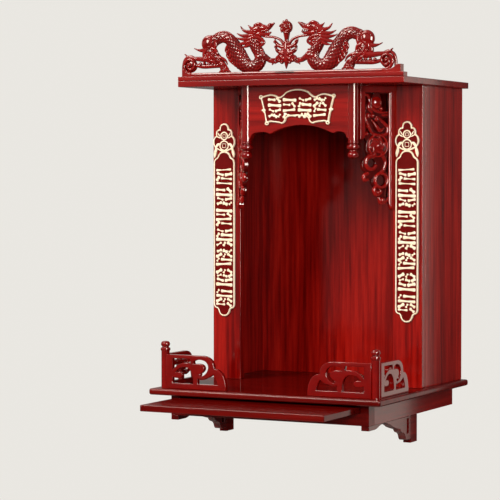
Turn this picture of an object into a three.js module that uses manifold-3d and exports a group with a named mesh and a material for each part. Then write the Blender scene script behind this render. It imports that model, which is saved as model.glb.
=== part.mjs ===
// A household altar cabinet that hangs on a wall, in millimetres, +Z up, its front facing -Y.
// The origin is the middle of the back panel's rear face, on the wall plane Y = 0.
// Heights are worked out from the top of the base slab, and the whole model is then lowered by HANG_HEIGHT.
import * as THREE from 'three';
import { mergeVertices } from 'three/addons/utils/BufferGeometryUtils.js';
import Module from 'manifold-3d';

const wasm = await Module();
wasm.setup();

// Driving dimensions
const HANG_HEIGHT = 300;
const BOARD = 12;
const GAP = 0.3;
const SLAB = { width: 480, depth: 441, round: 3 };
const CASE = { width: 450, depth: 206, height: 577, back: 10 };
const PILASTER = { width: 61, thick: 16, round: 3 };
const TOP = { width: 476, depth: 328.5, round: 2 };
const COLUMN = { x: 113, y: -278, radius: 10, segments: 10 };
const LINTEL = { front: -285, thick: 14, side: 100, lobe: 89, arch: 75, archShift: 7, archHalf: 67 };
const COUPLET = { leftX: -199, rightX: 194, half: 22, top: 507, places: 7, first: -106, pitch: 40.3 };
const PLAQUE = { ground: 2.6, rimHalf: 1.7, rimHeight: 4, stroke: 3.4, boss: 4.6 };
const WING = { thick: 14, ground: 9, topRail: 14, frontStile: 22, rearStile: 77, bottom: -237 };
const RAIL = { x: 219, y: -412, length: 134, height: 64.5, thick: 10, postRadius: 8 };
const APRON = { half: 206, front: -413, thick: 16, height: 39.5, post: 25, slot: 16.8 };
const TRAY = { half: 187, front: -566, depth: 400, top: -16.5 };
const BRACKET = { thick: 15.5, bottom: -97, legRear: -216, battenRear: -184, battenBottom: -104 };
const CREST = { half: 237, front: -327, thick: 18, plinth: 8, rail: 13.5 };
const APRON_BOTTOM = -BOARD - APRON.height;
const BOARD_TOP = CASE.height + BOARD;

const FINISH = {
  lacquer: { color: 0x8e1712, roughness: 0.25, metalness: 0 },
  darkLacquer: { color: 0x5a0c0a, roughness: 0.3, metalness: 0 },
  gilt: { color: 0xe9d3a2, roughness: 0.45, metalness: 0.1 },
};

const cabinet = new THREE.Group();
cabinet.position.z = -HANG_HEIGHT;

function add(name, geometry, finish = 'lacquer') {
  const mesh = new THREE.Mesh(geometry, new THREE.MeshStandardMaterial(FINISH[finish]));
  mesh.name = name;
  cabinet.add(mesh);
}

// --- geometry helpers ---

function box(x0, x1, y0, y1, z0, z1) {
  const geometry = new THREE.BoxGeometry(x1 - x0, y1 - y0, z1 - z0);
  return geometry.translate((x0 + x1) / 2, (y0 + y1) / 2, (z0 + z1) / 2);
}

function solid(geometry) {
  const bare = new THREE.BufferGeometry();
  bare.setAttribute('position', geometry.getAttribute('position'));
  bare.setIndex(geometry.getIndex());
  const merged = mergeVertices(bare, 1e-4);
  return new wasm.Manifold(new wasm.Mesh({
    numProp: 3,
    vertProperties: merged.getAttribute('position').array,
    triVerts: Uint32Array.from(merged.getIndex().array),
  }));
}

function geometryOf(manifold) {
  const mesh = manifold.getMesh();
  const geometry = new THREE.BufferGeometry();
  geometry.setAttribute('position', new THREE.BufferAttribute(mesh.vertProperties, 3));
  geometry.setIndex(new THREE.BufferAttribute(mesh.triVerts, 1));
  return geometry;
}

function fuse(geometries, cutters = []) {
  let whole = geometries.map(solid).reduce((all, next) => all.add(next));
  for (const cutter of cutters) whole = whole.subtract(solid(cutter));
  return geometryOf(whole);
}

// An outline of [x, y] corners, or of commands ['q', cx, cy, x, y] for a quadratic curve.
function outline(steps) {
  const shape = new THREE.Shape();
  steps.forEach((step, index) => {
    if (index === 0) shape.moveTo(step[0], step[1]);
    else if (step[0] === 'q') shape.quadraticCurveTo(step[1], step[2], step[3], step[4]);
    else shape.lineTo(step[0], step[1]);
  });
  return shape;
}

const circle = (x, y, radius, count = 8) => Array.from({ length: count }, (_, i) => {
  const angle = (i / count) * 2 * Math.PI;
  return [x + radius * Math.cos(angle), y + radius * Math.sin(angle)];
});

// A closed loop of points, run clockwise, moved outwards by a distance (inwards when it is negative).
function grown(loop, distance) {
  return loop.map((point, i) => {
    const here = new THREE.Vector2(...point);
    const before = new THREE.Vector2(...loop[(i + loop.length - 1) % loop.length]).sub(here).normalize();
    const after = new THREE.Vector2(...loop[(i + 1) % loop.length]).sub(here).normalize();
    const normal = new THREE.Vector2(before.y - after.y, after.x - before.x).normalize();
    const mitre = Math.max(0.6, Math.abs(normal.dot(new THREE.Vector2(-after.y, after.x))));
    return [point[0] + (normal.x * distance) / mitre, point[1] + (normal.y * distance) / mitre];
  });
}

// A plaque with a sunk ground and a raised rim, whose middle line is the loop.
function rimmed(loop) {
  const { ground, rimHalf, rimHeight } = PLAQUE;
  const pocket = plate(outline(grown(loop, -rimHalf)), rimHeight).translate(0, 0, ground);
  return geometryOf(solid(plate(outline(grown(loop, rimHalf)), rimHeight)).subtract(solid(pocket)));
}

// A flat board cut to an outline in its own XY plane, with its back at z = 0.
function plate(shape, thick, { bevel = 0, curveSegments = 6 } = {}) {
  const geometry = new THREE.ExtrudeGeometry(shape, {
    depth: thick - 2 * bevel,
    bevelEnabled: bevel > 0,
    bevelThickness: bevel,
    bevelSize: bevel,
    bevelOffset: -bevel,
    bevelSegments: 2,
    curveSegments,
  });
  return geometry.translate(0, 0, bevel);
}

// A flat board as above with openings cut right through it, each an outline of its own.
function pierced(steps, openings, thick) {
  const cutters = openings.map((opening) => plate(outline(opening), thick + 2, { curveSegments: 3 }).translate(0, 0, -1));
  return fuse([plate(outline(steps), thick, { curveSegments: 3 })], cutters);
}

// A turned piece about +Z from [radius, height] pairs, lowest first, that start and end on the axis.
function turned(profile, segments) {
  const points = profile.map(([radius, height]) => new THREE.Vector2(radius, height));
  return new THREE.LatheGeometry(points, segments).rotateX(Math.PI / 2);
}

function dome(x, y, radius, back, front, segments = 8) {
  const profile = [[0, back], [radius, back], [radius * 0.6, front], [0, front]];
  return turned(profile, segments).translate(x, y, 0);
}

function hoop(x, y, radius, half, back, front, segments = 8) {
  const profile = [
    [radius - half, back], [radius + half, back], [radius + half * 0.5, front], [radius - half * 0.5, front],
    [radius - half, back],
  ];
  return turned(profile, segments).translate(x, y, 0);
}

// A carved strand: a ridge that follows a smooth line in the XY plane. Each point is [x, y, half width].
// Its back is flat and its sides lean in to a crown that is three fifths as wide.
function strand(points, back, front) {
  const line = new THREE.CatmullRomCurve3(points.map(([x, y]) => new THREE.Vector3(x, y, 0)), false, 'centripetal');
  const steps = points.length - 1;
  const section = [[-1, 0], [1, 0], [0.6, 1], [-0.6, 1]];
  const sides = section.length;
  const position = [];
  const index = [];
  for (let i = 0; i <= steps; i += 1) {
    const [x, y, half] = points[i];
    const along = line.getTangent(i / steps);
    for (const [across, rise] of section) {
      position.push(x - along.y * across * half, y + along.x * across * half);
      position.push(back + rise * (front - back));
    }
  }
  for (let i = 0; i < steps; i += 1) {
    for (let j = 0; j < sides; j += 1) {
      const a = i * sides + j;
      const b = i * sides + ((j + 1) % sides);
      index.push(a, b, b + sides, a, b + sides, a + sides);
    }
  }
  for (let j = 1; j < sides - 1; j += 1) {
    index.push(0, j + 1, j);
    index.push(steps * sides, steps * sides + j, steps * sides + j + 1);
  }
  const geometry = new THREE.BufferGeometry();
  geometry.setAttribute('position', new THREE.Float32BufferAttribute(position, 3));
  geometry.setIndex(index);
  return geometry;
}

// Points along an arc of a circle, as strand points, from one angle to the other in degrees.
function arc(x, y, radius, from, to, half, count = 5) {
  return Array.from({ length: count }, (_, i) => {
    const angle = THREE.MathUtils.degToRad(from + ((to - from) * i) / (count - 1));
    return [x + radius * Math.cos(angle), y + radius * Math.sin(angle), half];
  });
}

// Stands a carving drawn in XY upright: X stays, Y becomes height and the carved face turns to -Y.
const upright = (geometry) => geometry.rotateX(Math.PI / 2);
const mirrored = (strands) => strands.map((points) => points.map(([x, y, half]) => [-x, y, half]));

// --- boards of the case ---

function roundedBoard(width, depth, round) {
  const half = width / 2;
  const shape = outline([[-half, -depth], [half, -depth], [half, 0], [-half, 0]]);
  return plate(shape, BOARD, { bevel: round });
}

function pilaster(side) {
  const outer = CASE.width / 2;
  const inner = outer - PILASTER.width;
  const [front, r] = [-CASE.depth, PILASTER.round];
  const back = front + PILASTER.thick;
  const shape = outline([
    [inner, back], [inner, front + r], ['q', inner, front, inner + r, front],
    [outer - r, front], ['q', outer, front, outer, front + r], [outer, back],
  ]);
  const geometry = plate(shape, CASE.height, { curveSegments: 3 });
  return side > 0 ? geometry : geometry.rotateZ(Math.PI).rotateX(Math.PI).translate(0, 0, CASE.height);
}

function lintel() {
  const { side, lobe, arch, archShift: shift, archHalf: half, thick } = LINTEL;
  const end = COLUMN.x;
  const cusp = lobe + 2.5;
  const shape = outline([
    [-end, 0], [-end, -side - 2], [-end + COLUMN.radius + 1, -side], ['q', -end + 13, -lobe - 1, -end + 23, -lobe],
    ['q', shift - half - 8, -lobe + 3, shift - half, -cusp], ['q', shift, cusp - 2 * arch, shift + half, -cusp],
    ['q', shift + half + 8, -lobe + 3, end - 20, -lobe], ['q', end - 13, -lobe - 1, end - COLUMN.radius - 1, -side],
    [end, -side - 2], [end, 0],
  ]);
  const board = upright(plate(shape, thick, { curveSegments: 8 })).translate(0, LINTEL.front + thick, CASE.height);
  const bore = (x) => turned([
    [0, -side - 9], [COLUMN.radius + GAP, -side - 9], [COLUMN.radius + GAP, 9], [0, 9],
  ], COLUMN.segments).translate(x, COLUMN.y, CASE.height);
  const beyond = (x) => box(x - 20, x, LINTEL.front - 9, LINTEL.front + 30, CASE.height - 120, CASE.height + 9);
  return fuse([board], [bore(-end), bore(end), beyond(-end + 4), beyond(end + 16)]);
}

// A hanging column: shaft, small collar, wide ring, neck and a flattened bead. Depths are below the top board.
function dropColumn(side) {
  const r = COLUMN.radius;
  const profile = [
    [0, -140], [7, -139], [11, -133], [7.5, -126], [7.5, -123], [12.4, -119], [12.4, -114.5], [9, -111.5], [11, -108.5],
    [r, -105.5], [r, 0], [0, 0],
  ];
  return turned(profile, COLUMN.segments).translate(side * COLUMN.x, COLUMN.y, CASE.height);
}

// --- plaques ---

// A pair of short slanting bars at one place of an inscription; they spell nothing.
function strokes(x, y, width, height, seed) {
  const bars = [];
  const tilts = [0.3, -0.4];
  tilts.forEach((tilt, i) => {
    const bar = new THREE.BoxGeometry(width * (0.86 - 0.1 * ((i + seed) % 3)), height * 0.2, PLAQUE.stroke);
    const shift = (i - 0.5) * height * 0.5;
    bars.push(bar.rotateZ(tilt * (seed % 2 ? 1 : -1)).translate(x, y - shift, PLAQUE.stroke / 2));
  });
  return bars;
}

function lintelPlaque() {
  const top = [[0, -7.8], [17, -10.5], [30, -16.5], [39.5, -22.5], [49, -19], [59, -17.6], [68, -19.5], [76, -22]];
  const bottom = [[65, -69.5], [52, -67.5], [42, -69], [33, -70.6], [26.5, -67.5], [24, -61.5], [18, -57.6], [0, -56]];
  const right = [...top, ...bottom];
  const left = [...right].reverse().slice(1, -1).map(([x, y]) => [-x, y]);
  const parts = [rimmed([...right, ...left])];
  for (const side of [-1, 1]) {
    parts.push(dome(side * 77, -21, 4.4, 0, PLAQUE.boss), dome(side * 64.5, -71, 4.4, 0, PLAQUE.boss));
    parts.push(dome(side * 71, -46, 5, 0, PLAQUE.boss, 4));
  }
  [-48, -16, 16, 48].forEach((x, i) => parts.push(...strokes(x, -42, 24, 34, i)));
  return upright(fuse(parts)).translate(0, LINTEL.front - GAP, CASE.height);
}

// A tall plaque: a lower panel with an ogee head and foot, and over it a stepped cloud crown with two coins.
function coupletPlaque(x) {
  const w = COUPLET.half;
  const [head, shoulder, foot, tip] = [-57, -76, -365, -383];
  const panel = [
    [0, head], [8.5, head - 3.5], [13, head - 11], [w, shoulder], [w, foot], [13, foot - 7], [0, tip],
  ];
  const crown = [
    [0, 0], [5, -3.5], [9, -14.5], [16, -19], [17.5, -26.5], [21.5, -32], [22.5, -41], [20, -51], [21.5, -68], [15.5, -68],
    [8.5, -57], [0, -53],
  ];
  const whole = (half) => [...half, ...[...half].reverse().slice(1, -1).map(([px, y]) => [-px, y])];
  const parts = [rimmed(whole(panel)), rimmed(whole(crown))];
  parts.push(dome(0, -26, 6.4, 0, PLAQUE.rimHeight, 6), dome(0, -45, 9.6, 0, PLAQUE.rimHeight));
  for (let i = 0; i < COUPLET.places; i += 1) {
    parts.push(...strokes(0, COUPLET.first - COUPLET.pitch * i, 33, 32, i));
  }
  return upright(fuse(parts)).translate(x, -CASE.depth - GAP, COUPLET.top);
}

// --- wings between the hanging columns and the pilasters ---

// Drawn with x from the column's axis towards the pilaster and y below the top board.
function wing(side) {
  const run = [CASE.width / 2 - PILASTER.width - COLUMN.x, -CASE.depth - COLUMN.y];
  const reach = Math.hypot(...run);
  const end = reach + 9;
  const { thick, ground, topRail, frontStile, rearStile, bottom } = WING;
  const edge = [
    [0, -2], [end, -2], [end, -236], [84, -236], [77, -222], ['q', 58, -234, 56, -213], ['q', 40, -208, 46, -194],
    ['q', 38, -188, 40, -177], ['q', 22, -188, 21, -175], [28, -167], ['q', 16, -158, 19, -146],
    ['q', 22, -137, 32, -136], ['q', 24, -118, 29, -108], [24, -100], [0, -100],
  ];
  const openings = [
    circle(39, -148, 8), circle(60, -181, 10),
    [[24, -16], [44, -16], ['q', 36, -26, 38, -38], [28, -36], [26, -50]],
    [[60, -16.4], [75, -16.2], [76, -49], [62, -50], ['q', 64, -28, 56, -17]],
    [[24, -64], [30, -72], [37, -92], [24, -90]], [[38, -64], [47, -66], [60, -83], [55, -90], [44, -84]],
    [[63, -62], [75.4, -63], [76.3, -78], [66, -71]], [[77, -132], [75.7, -168], [70, -160], [72, -142]],
    [[76.2, -192], [75.3, -216], [67, -210], [70, -198]],
  ];
  const parts = [
    pierced(edge, openings, ground),
    plate(outline([[0, 0], [end, 0], [end, -topRail], [0, -topRail]]), thick),
    plate(outline([
      [0, 0], [frontStile, 0], [frontStile, -96], ['q', 20, -104, 12, -103], [0, -103],
    ]), thick, { curveSegments: 2 }),
    plate(outline([
      [rearStile, 0], [end, 0], [end, bottom], [rearStile + 7, bottom], [rearStile, bottom + 9],
    ]), thick),
    dome(50, -33, 11, 0, thick + 1), dome(52, -115, 23, 0, thick - 1, 10),
    hoop(60, -181, 13.5, 3.6, 0, thick - 1), dome(28, -175, 5.6, 0, thick, 6),
    strand([[34, -80, 3], [44, -92, 4], [62, -93, 4], [73, -88, 4], [71, -76, 4], [56, -66, 3]], 0, thick - 1),
    strand([[20, -17, 3], [31, -20, 3.5], [34, -42, 4], [46, -56, 4], [52, -64, 3]], 0, thick - 1),
  ];
  const inset = thick * 0.8;
  const turn = Math.atan2(run[1], run[0]);
  const stood = upright(fuse(parts)).translate(0, inset, 0).rotateZ(turn);
  stood.translate(COLUMN.x, COLUMN.y, CASE.height - GAP);
  const r = COLUMN.radius + 2 * GAP;
  const bore = turned([[0, -300], [r, -300], [r, 20], [0, 20]], COLUMN.segments);
  const behind = box(COLUMN.x - 40, CASE.width, -CASE.depth - GAP, 50, 0, CASE.height + 50);
  const before = box(COLUMN.x - 60, COLUMN.x + 1, COLUMN.y - 60, COLUMN.y + 60, 0, CASE.height + 50);
  const cutters = [bore.translate(COLUMN.x, COLUMN.y, CASE.height), behind, before];
  const geometry = fuse([stood], cutters);
  return side > 0 ? geometry : flipX(geometry);
}

// The same piece on the other side: X is negated and every face turned round again.
function flipX(geometry) {
  const flipped = (geometry.getIndex() ? geometry.clone() : mergeVertices(geometry)).scale(-1, 1, 1);
  const corners = flipped.getIndex().array;
  for (let i = 0; i < corners.length; i += 3) [corners[i], corners[i + 1]] = [corners[i + 1], corners[i]];
  return flipped;
}

// --- railing on the front corners of the slab ---

// Drawn with x out from the post's axis and y above the slab. The openings leave an arch on a stem and a scroll.
// The outer face is flush with the post.
function railingPanel() {
  const { length, height, thick } = RAIL;
  const near = RAIL.postRadius + GAP;
  const edge = [
    [near, 0], [length, 0], [length, 6], ['q', length - 1, 22, length - 8, 32], ['q', length - 14, 40, 109, 41],
    ['q', 108.5, 62, 85, height], [near, height],
  ];
  const top = height - 7;
  const gapInScroll = [...circle(88, 44, 14, 12).slice(0, 6), [79, 47], [85, 51.5], [92, 49], [93, 42], [87, 38], [79, 39],
    ...circle(88, 44, 14, 12).slice(7)];
  const openings = [
    [[25, top], [57.5, top], [57.5, 49], ['q', 36, 54, 25, 35]], gapInScroll,
    [[25, 11], [66.5, 11], [67, 18], [62, 34], ['q', 57, 42, 47, 42], ['q', 36, 41, 30, 32], [41, 31], [43, 25],
      [37, 21], [25, 20]],
    [[75.5, 11], [122, 11], ['q', 121, 24, 112, 31], ['q', 104, 23, 92, 22], [75, 20]],
  ];
  return upright(pierced(edge, openings, thick)).translate(0, thick - RAIL.postRadius, 0);
}

function railingPost(side) {
  const r = RAIL.postRadius;
  const profile = [
    [0, 0], [r, 0], [r, 71], [r + 1.3, 72], [r + 1.3, 76], [6.4, 78.5], [r + 0.8, 82], [r + 0.8, 86], [5, 89.6], [0, 89.6],
  ];
  return turned(profile, COLUMN.segments).translate(side * RAIL.x, RAIL.y, 0);
}

// --- apron, tray and brackets under the slab ---

function apronPost() {
  const { half, post, slot, front } = APRON;
  const shape = outline([
    [half - post, APRON_BOTTOM], [half, APRON_BOTTOM], [half, -BOARD], [TRAY.half + 2, -BOARD],
    [TRAY.half + 2, -BOARD - slot], [half - post, -BOARD - slot],
  ]);
  return upright(plate(shape, post)).translate(0, front + post, 0);
}

// The bracket's side view: x is depth from the wall and y is height; a block in front, an arch, and a short leg.
function bracket() {
  const shape = outline([
    [APRON.front, APRON_BOTTOM], [APRON.front, -60.5], [APRON.front + 28, -60.5],
    ['q', APRON.front + 38, -60, APRON.front + 48, -56], ['q', -352, -52.5, -338, -53.5], ['q', -318, -56, -300, -65],
    ['q', -282, -70, -266, -73], ['q', -262, -80, -252, -81], ['q', -243, -83, -240, -92],
    ['q', -238, BRACKET.bottom, -230, BRACKET.bottom], [BRACKET.legRear, BRACKET.bottom],
    [BRACKET.legRear, APRON_BOTTOM],
  ]);
  const slot = outline([[-234, -84], [-225, -84], [-225, -56], [-234, -56]]);
  shape.holes.push(new THREE.Path(slot.getPoints().reverse()));
  const board = plate(shape, BRACKET.thick, { curveSegments: 4 });
  return board.rotateX(Math.PI / 2).rotateZ(Math.PI / 2).translate(APRON.half - BRACKET.thick, 0, 0);
}

// --- crest: two dragons and a flaming pearl, drawn with x from the middle and y above the top board ---

function dragonStrands() {
  const high = CREST.thick;
  const low = high - 4;
  return [
    // body: haunch, arch, down to the chest, round the coil and up the neck
    [[[-176, 60, 9], [-172, 72, 13], [-160, 78, 13], [-147, 83, 11], [-133, 84, 12], [-121, 76, 14], [-110, 61, 17],
      [-100, 44, 18], [-88, 29, 16], [-73, 24, 13], [-60, 33, 12], [-60, 48, 11], [-67, 62, 11], [-72, 77, 13],
      [-66, 89, 12]], high],
    // back fin along the arch
    [[[-163, 88, 2], [-150, 93, 3.5], [-136, 96, 4], [-122, 91, 4], [-104, 73, 3]], low],
    // hind leg and foot
    [[[-168, 60, 13], [-158, 46, 14], [-149, 32, 11], [-141, 18, 8], [-139, 6, 9]], high],
    [[[-144, 20, 4], [-134, 24, 3.2], [-126, 22, 2]], low],
    // tail: band along the rail, flutes, two flicked tips
    [[[-150, 31, 6], [-168, 29, 5.6], [-184, 28, 4], [-200, 30, 6]], low],
    [[[-160, 44, 7], [-176, 42, 6], [-204, 42, 5], [-214, 46, 3.4], [-222, 51, 1]], low],
    [[[-166, 58, 8], [-180, 58, 4.5], [-201, 61, 1]], low],
    // head: muzzle with a curled tip, brow, jaw and beard
    [[[-76, 92, 8], [-64, 97, 10], [-50, 96, 9], [-40, 98, 8], [-35, 106, 4.5], [-28, 110, 1.6]], high],
    [[[-60, 88, 7], [-46, 87, 5], [-37, 87, 3.4], [-33, 91, 2]], high],
    [[[-72, 77, 6], [-62, 75, 5], [-54, 72, 4], [-50, 67, 3.4], [-60, 54, 4]], low],
    // horns and mane
    [[[-72, 88, 6], [-86, 91, 4], [-96, 95, 3], [-102, 103, 1.2]], low],
    [[[-70, 96, 5], [-80, 99, 3.2], [-88, 104, 1.2]], low],
    [[[-76, 80, 7], [-90, 82, 5], [-100, 84, 3.4], [-109, 89, 1.2]], low],
    // whisker to the pearl's stem, foreleg reaching to the cloud
    [[[-56, 83, 2.6], [-40, 80, 2.6], [-26, 78, 2.6], [-14, 73, 3], [-6, 64, 4]], low],
    [[[-64, 38, 11], [-50, 39, 7], [-38, 38, 6], [-30, 33, 4.6], [-20, 38, 5]], low],
    [[[-92, 14, 12], [-62, 15, 12], [-54, 12, 8]], high],
  ];
}

function pearlStrands() {
  const high = CREST.thick;
  return [
    [[[-28, 73, 2], [-24, 65, 4.5], [-26, 55, 4.5], [-22, 46, 5], [-24, 38, 5], [-14, 33, 5], [-4, 36, 5]], high - 4],
    [[[-4, 82, 4], [-8, 68, 5], [-10, 56, 7], [-9, 44, 9]], high],
  ];
}

function crest() {
  const { half, thick, plinth, rail } = CREST;
  const step = half - 7;
  const cornerBlock = [
    [-step, 0], [-step, 20], [-224, 20], ['q', -218, 15, -205, rail], [205, rail], ['q', 218, 15, 224, 20],
    [step, 20], [step, 0],
  ];
  const parts = [
    plate(outline([[-half, 0], [half, 0], [half, plinth], [-half, plinth]]), thick + 2, { bevel: 2 }),
    plate(outline(cornerBlock), thick - 2),
    dome(0, 98, 12.6, 2, thick + 1, 12), dome(0, 109, 3.4, 2, thick - 4, 6),
    strand([[0, 90, 5], [0, 80, 6], [0, 66, 9], [0, 48, 12], [0, 34, 9], [-1, 17, 1.2]], 2, thick - 2),
  ];
  for (const set of [dragonStrands(), pearlStrands()]) {
    for (const [points, front] of set) {
      parts.push(strand(points, 2, front), strand(mirrored([points])[0].reverse(), 2, front));
    }
  }
  for (const side of [-1, 1]) {
    const scroll = [...arc(-209, 31, 12.5, 250, 60, 4.2, 6), [-198, 34, 3.6], [-203, 27, 3]];
    const points = side < 0 ? scroll : mirrored([scroll])[0];
    parts.push(strand([[side * 196, 10, 4.6], ...points], 2, thick));
    parts.push(dome(side * 209, 31, 5, 2, thick - 2, 6), dome(side * 209, 31, 11, 2, thick - 7));
    parts.push(dome(side * 168, 73, 15, 2, thick + 1, 10));
  }
  return upright(fuse(parts)).translate(0, CREST.front + thick, BOARD_TOP);
}

// --- assembly ---

const inner = CASE.width / 2 - BOARD;
add('base_slab', roundedBoard(SLAB.width, SLAB.depth, SLAB.round).translate(0, 0, -BOARD));
add('top_board', roundedBoard(TOP.width, TOP.depth, TOP.round).translate(0, 0, CASE.height));
add('dragon_crest', crest());
add('back_panel', box(-inner, inner, -CASE.back, 0, 0, CASE.height), 'darkLacquer');
add('lintel_board', lintel());
add('lintel_plaque', lintelPlaque(), 'gilt');
add('apron_front_rail', box(
  APRON.post - APRON.half, APRON.half - APRON.post, APRON.front, APRON.front + APRON.thick, APRON_BOTTOM,
  -BOARD - APRON.slot,
));
add('apron_back', box(-APRON.half + APRON.thick, APRON.half - APRON.thick, -BOARD, 0, APRON_BOTTOM, -BOARD));

for (const [name, side] of [['left', -1], ['right', 1]]) {
  const place = (geometry) => (side > 0 ? geometry : flipX(geometry));
  const caseBack = -CASE.depth + PILASTER.thick;
  add(`${name}_side_panel`, place(box(inner, inner + BOARD, caseBack, 0, 0, CASE.height)));
  add(`${name}_pilaster`, pilaster(side));
  add(`${name}_couplet_plaque`, coupletPlaque(side < 0 ? COUPLET.leftX : COUPLET.rightX), 'gilt');
  add(`${name}_drop_column`, dropColumn(side));
  add(`${name}_wing_bracket`, wing(side));
  add(`${name}_railing_post`, railingPost(side));

  const panel = railingPanel();
  const front = side > 0 ? flipX(panel) : panel.clone();
  add(`${name}_front_railing`, front.translate(side * RAIL.x, RAIL.y, 0));
  const lengthways = panel.rotateZ(Math.PI / 2);
  add(`${name}_side_railing`, place(lengthways).translate(side * RAIL.x, RAIL.y, 0));

  add(`apron_${name}_post`, place(apronPost()));
  add(`apron_${name}_side`, place(box(
    APRON.half - APRON.thick, APRON.half, APRON.front + APRON.post, 0, APRON_BOTTOM, -BOARD,
  )));
  const runnerTop = -BOARD - APRON.slot;
  const wall = APRON.half - APRON.thick;
  add(`${name}_tray_runner`, place(box(
    wall - 18, wall, APRON.front + APRON.post, -BOARD, runnerTop - BOARD, runnerTop,
  )), 'darkLacquer');
  add(`${name}_bracket`, place(bracket()), 'darkLacquer');
  add(`${name}_bracket_batten`, place(box(
    APRON.half - BRACKET.thick, APRON.half, BRACKET.legRear + GAP, BRACKET.battenRear, BRACKET.battenBottom,
    APRON_BOTTOM - GAP,
  )), 'darkLacquer');
}

add('pull_out_tray', box(
  -TRAY.half, TRAY.half, TRAY.front, TRAY.front + TRAY.depth, TRAY.top - BOARD, TRAY.top,
));

export default cabinet;
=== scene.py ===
"""Looks of a wall-hung household altar cabinet: red lacquered boards, gilt plaques, a pierced dragon crest.

Carved work is drawn in millimetres on a plane, x to the right, y up and z out of the face, and is then stood
upright in the frame, which is in metres with +X right, +Y into the wall and +Z up.
"""
import logging
import math
from dataclasses import dataclass, field
from enum import Enum

import bmesh
import bpy
import numpy as np
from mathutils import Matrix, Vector


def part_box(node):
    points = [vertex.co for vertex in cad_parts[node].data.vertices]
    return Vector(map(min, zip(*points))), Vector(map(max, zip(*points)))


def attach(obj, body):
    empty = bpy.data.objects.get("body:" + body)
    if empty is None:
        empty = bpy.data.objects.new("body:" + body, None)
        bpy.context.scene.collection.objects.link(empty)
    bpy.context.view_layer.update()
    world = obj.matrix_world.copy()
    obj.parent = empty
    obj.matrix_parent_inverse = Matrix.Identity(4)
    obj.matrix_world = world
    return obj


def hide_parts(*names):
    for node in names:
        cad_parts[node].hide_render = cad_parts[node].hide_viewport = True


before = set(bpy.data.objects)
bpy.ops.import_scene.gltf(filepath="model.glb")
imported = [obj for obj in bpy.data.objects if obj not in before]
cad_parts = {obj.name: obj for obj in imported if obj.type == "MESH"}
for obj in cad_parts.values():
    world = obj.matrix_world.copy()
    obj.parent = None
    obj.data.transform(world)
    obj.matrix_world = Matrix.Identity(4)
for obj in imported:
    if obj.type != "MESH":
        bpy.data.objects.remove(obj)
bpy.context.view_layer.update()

Array = np.ndarray
Step = tuple[float, ...]
Line = list[Step]
Pair = tuple[float, float]
Triple = tuple[float, float, float]
Shell = tuple[Array, Array, Array]
MM = 0.001
COAT_IOR = 1.5
MERGE, NODE_MERGE = 1e-7, 1e-6
LOG = logging.getLogger("altar_cabinet")
CABINET, TRAY = "cabinet", "tray"
SIDES = {"left": -1, "right": 1}


# --- shaders ---


class Grain(Enum):
    """Which way the wood grain runs, as stretch factors of the noise along X, Y and Z."""

    UPRIGHT = (1.0, 1.0, 0.05)
    ACROSS = (0.05, 1.0, 1.0)
    INWARD = (1.0, 0.05, 1.0)
    EVEN = (1.0, 1.0, 1.0)


class Value:
    """An output in a shader's tree, with arithmetic written as Python operators."""

    def __init__(self, kit: "ShaderKit", socket: bpy.types.NodeSocket) -> None:
        """Keeps the tree's kit and the socket it stands for."""
        self.kit = kit
        self.socket = socket

    def _math(self, operation: str, *others: object, clamp: bool = False) -> "Value":
        """Adds one Math node that takes this value and the others."""
        return self.kit.node("ShaderNodeMath", {"operation": operation, "use_clamp": clamp}, [self, *others])

    def __add__(self, other: object) -> "Value":
        """Sum."""
        return self._math("ADD", other)

    def __sub__(self, other: object) -> "Value":
        """Difference."""
        return self._math("SUBTRACT", other)

    def __mul__(self, other: object) -> "Value":
        """Product."""
        return self._math("MULTIPLY", other)

    def __rsub__(self, other: object) -> "Value":
        """Difference, with this value taken away."""
        return self.kit.node("ShaderNodeMath", {"operation": "SUBTRACT"}, [other, self])

    __radd__ = __add__
    __rmul__ = __mul__

    def between(self, low: float, high: float) -> "Value":
        """0 at or under low, 1 at or over high, and a straight ramp between them."""
        return ((self - low) * (1.0 / (high - low)))._math("ADD", 0.0, clamp=True)


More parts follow.
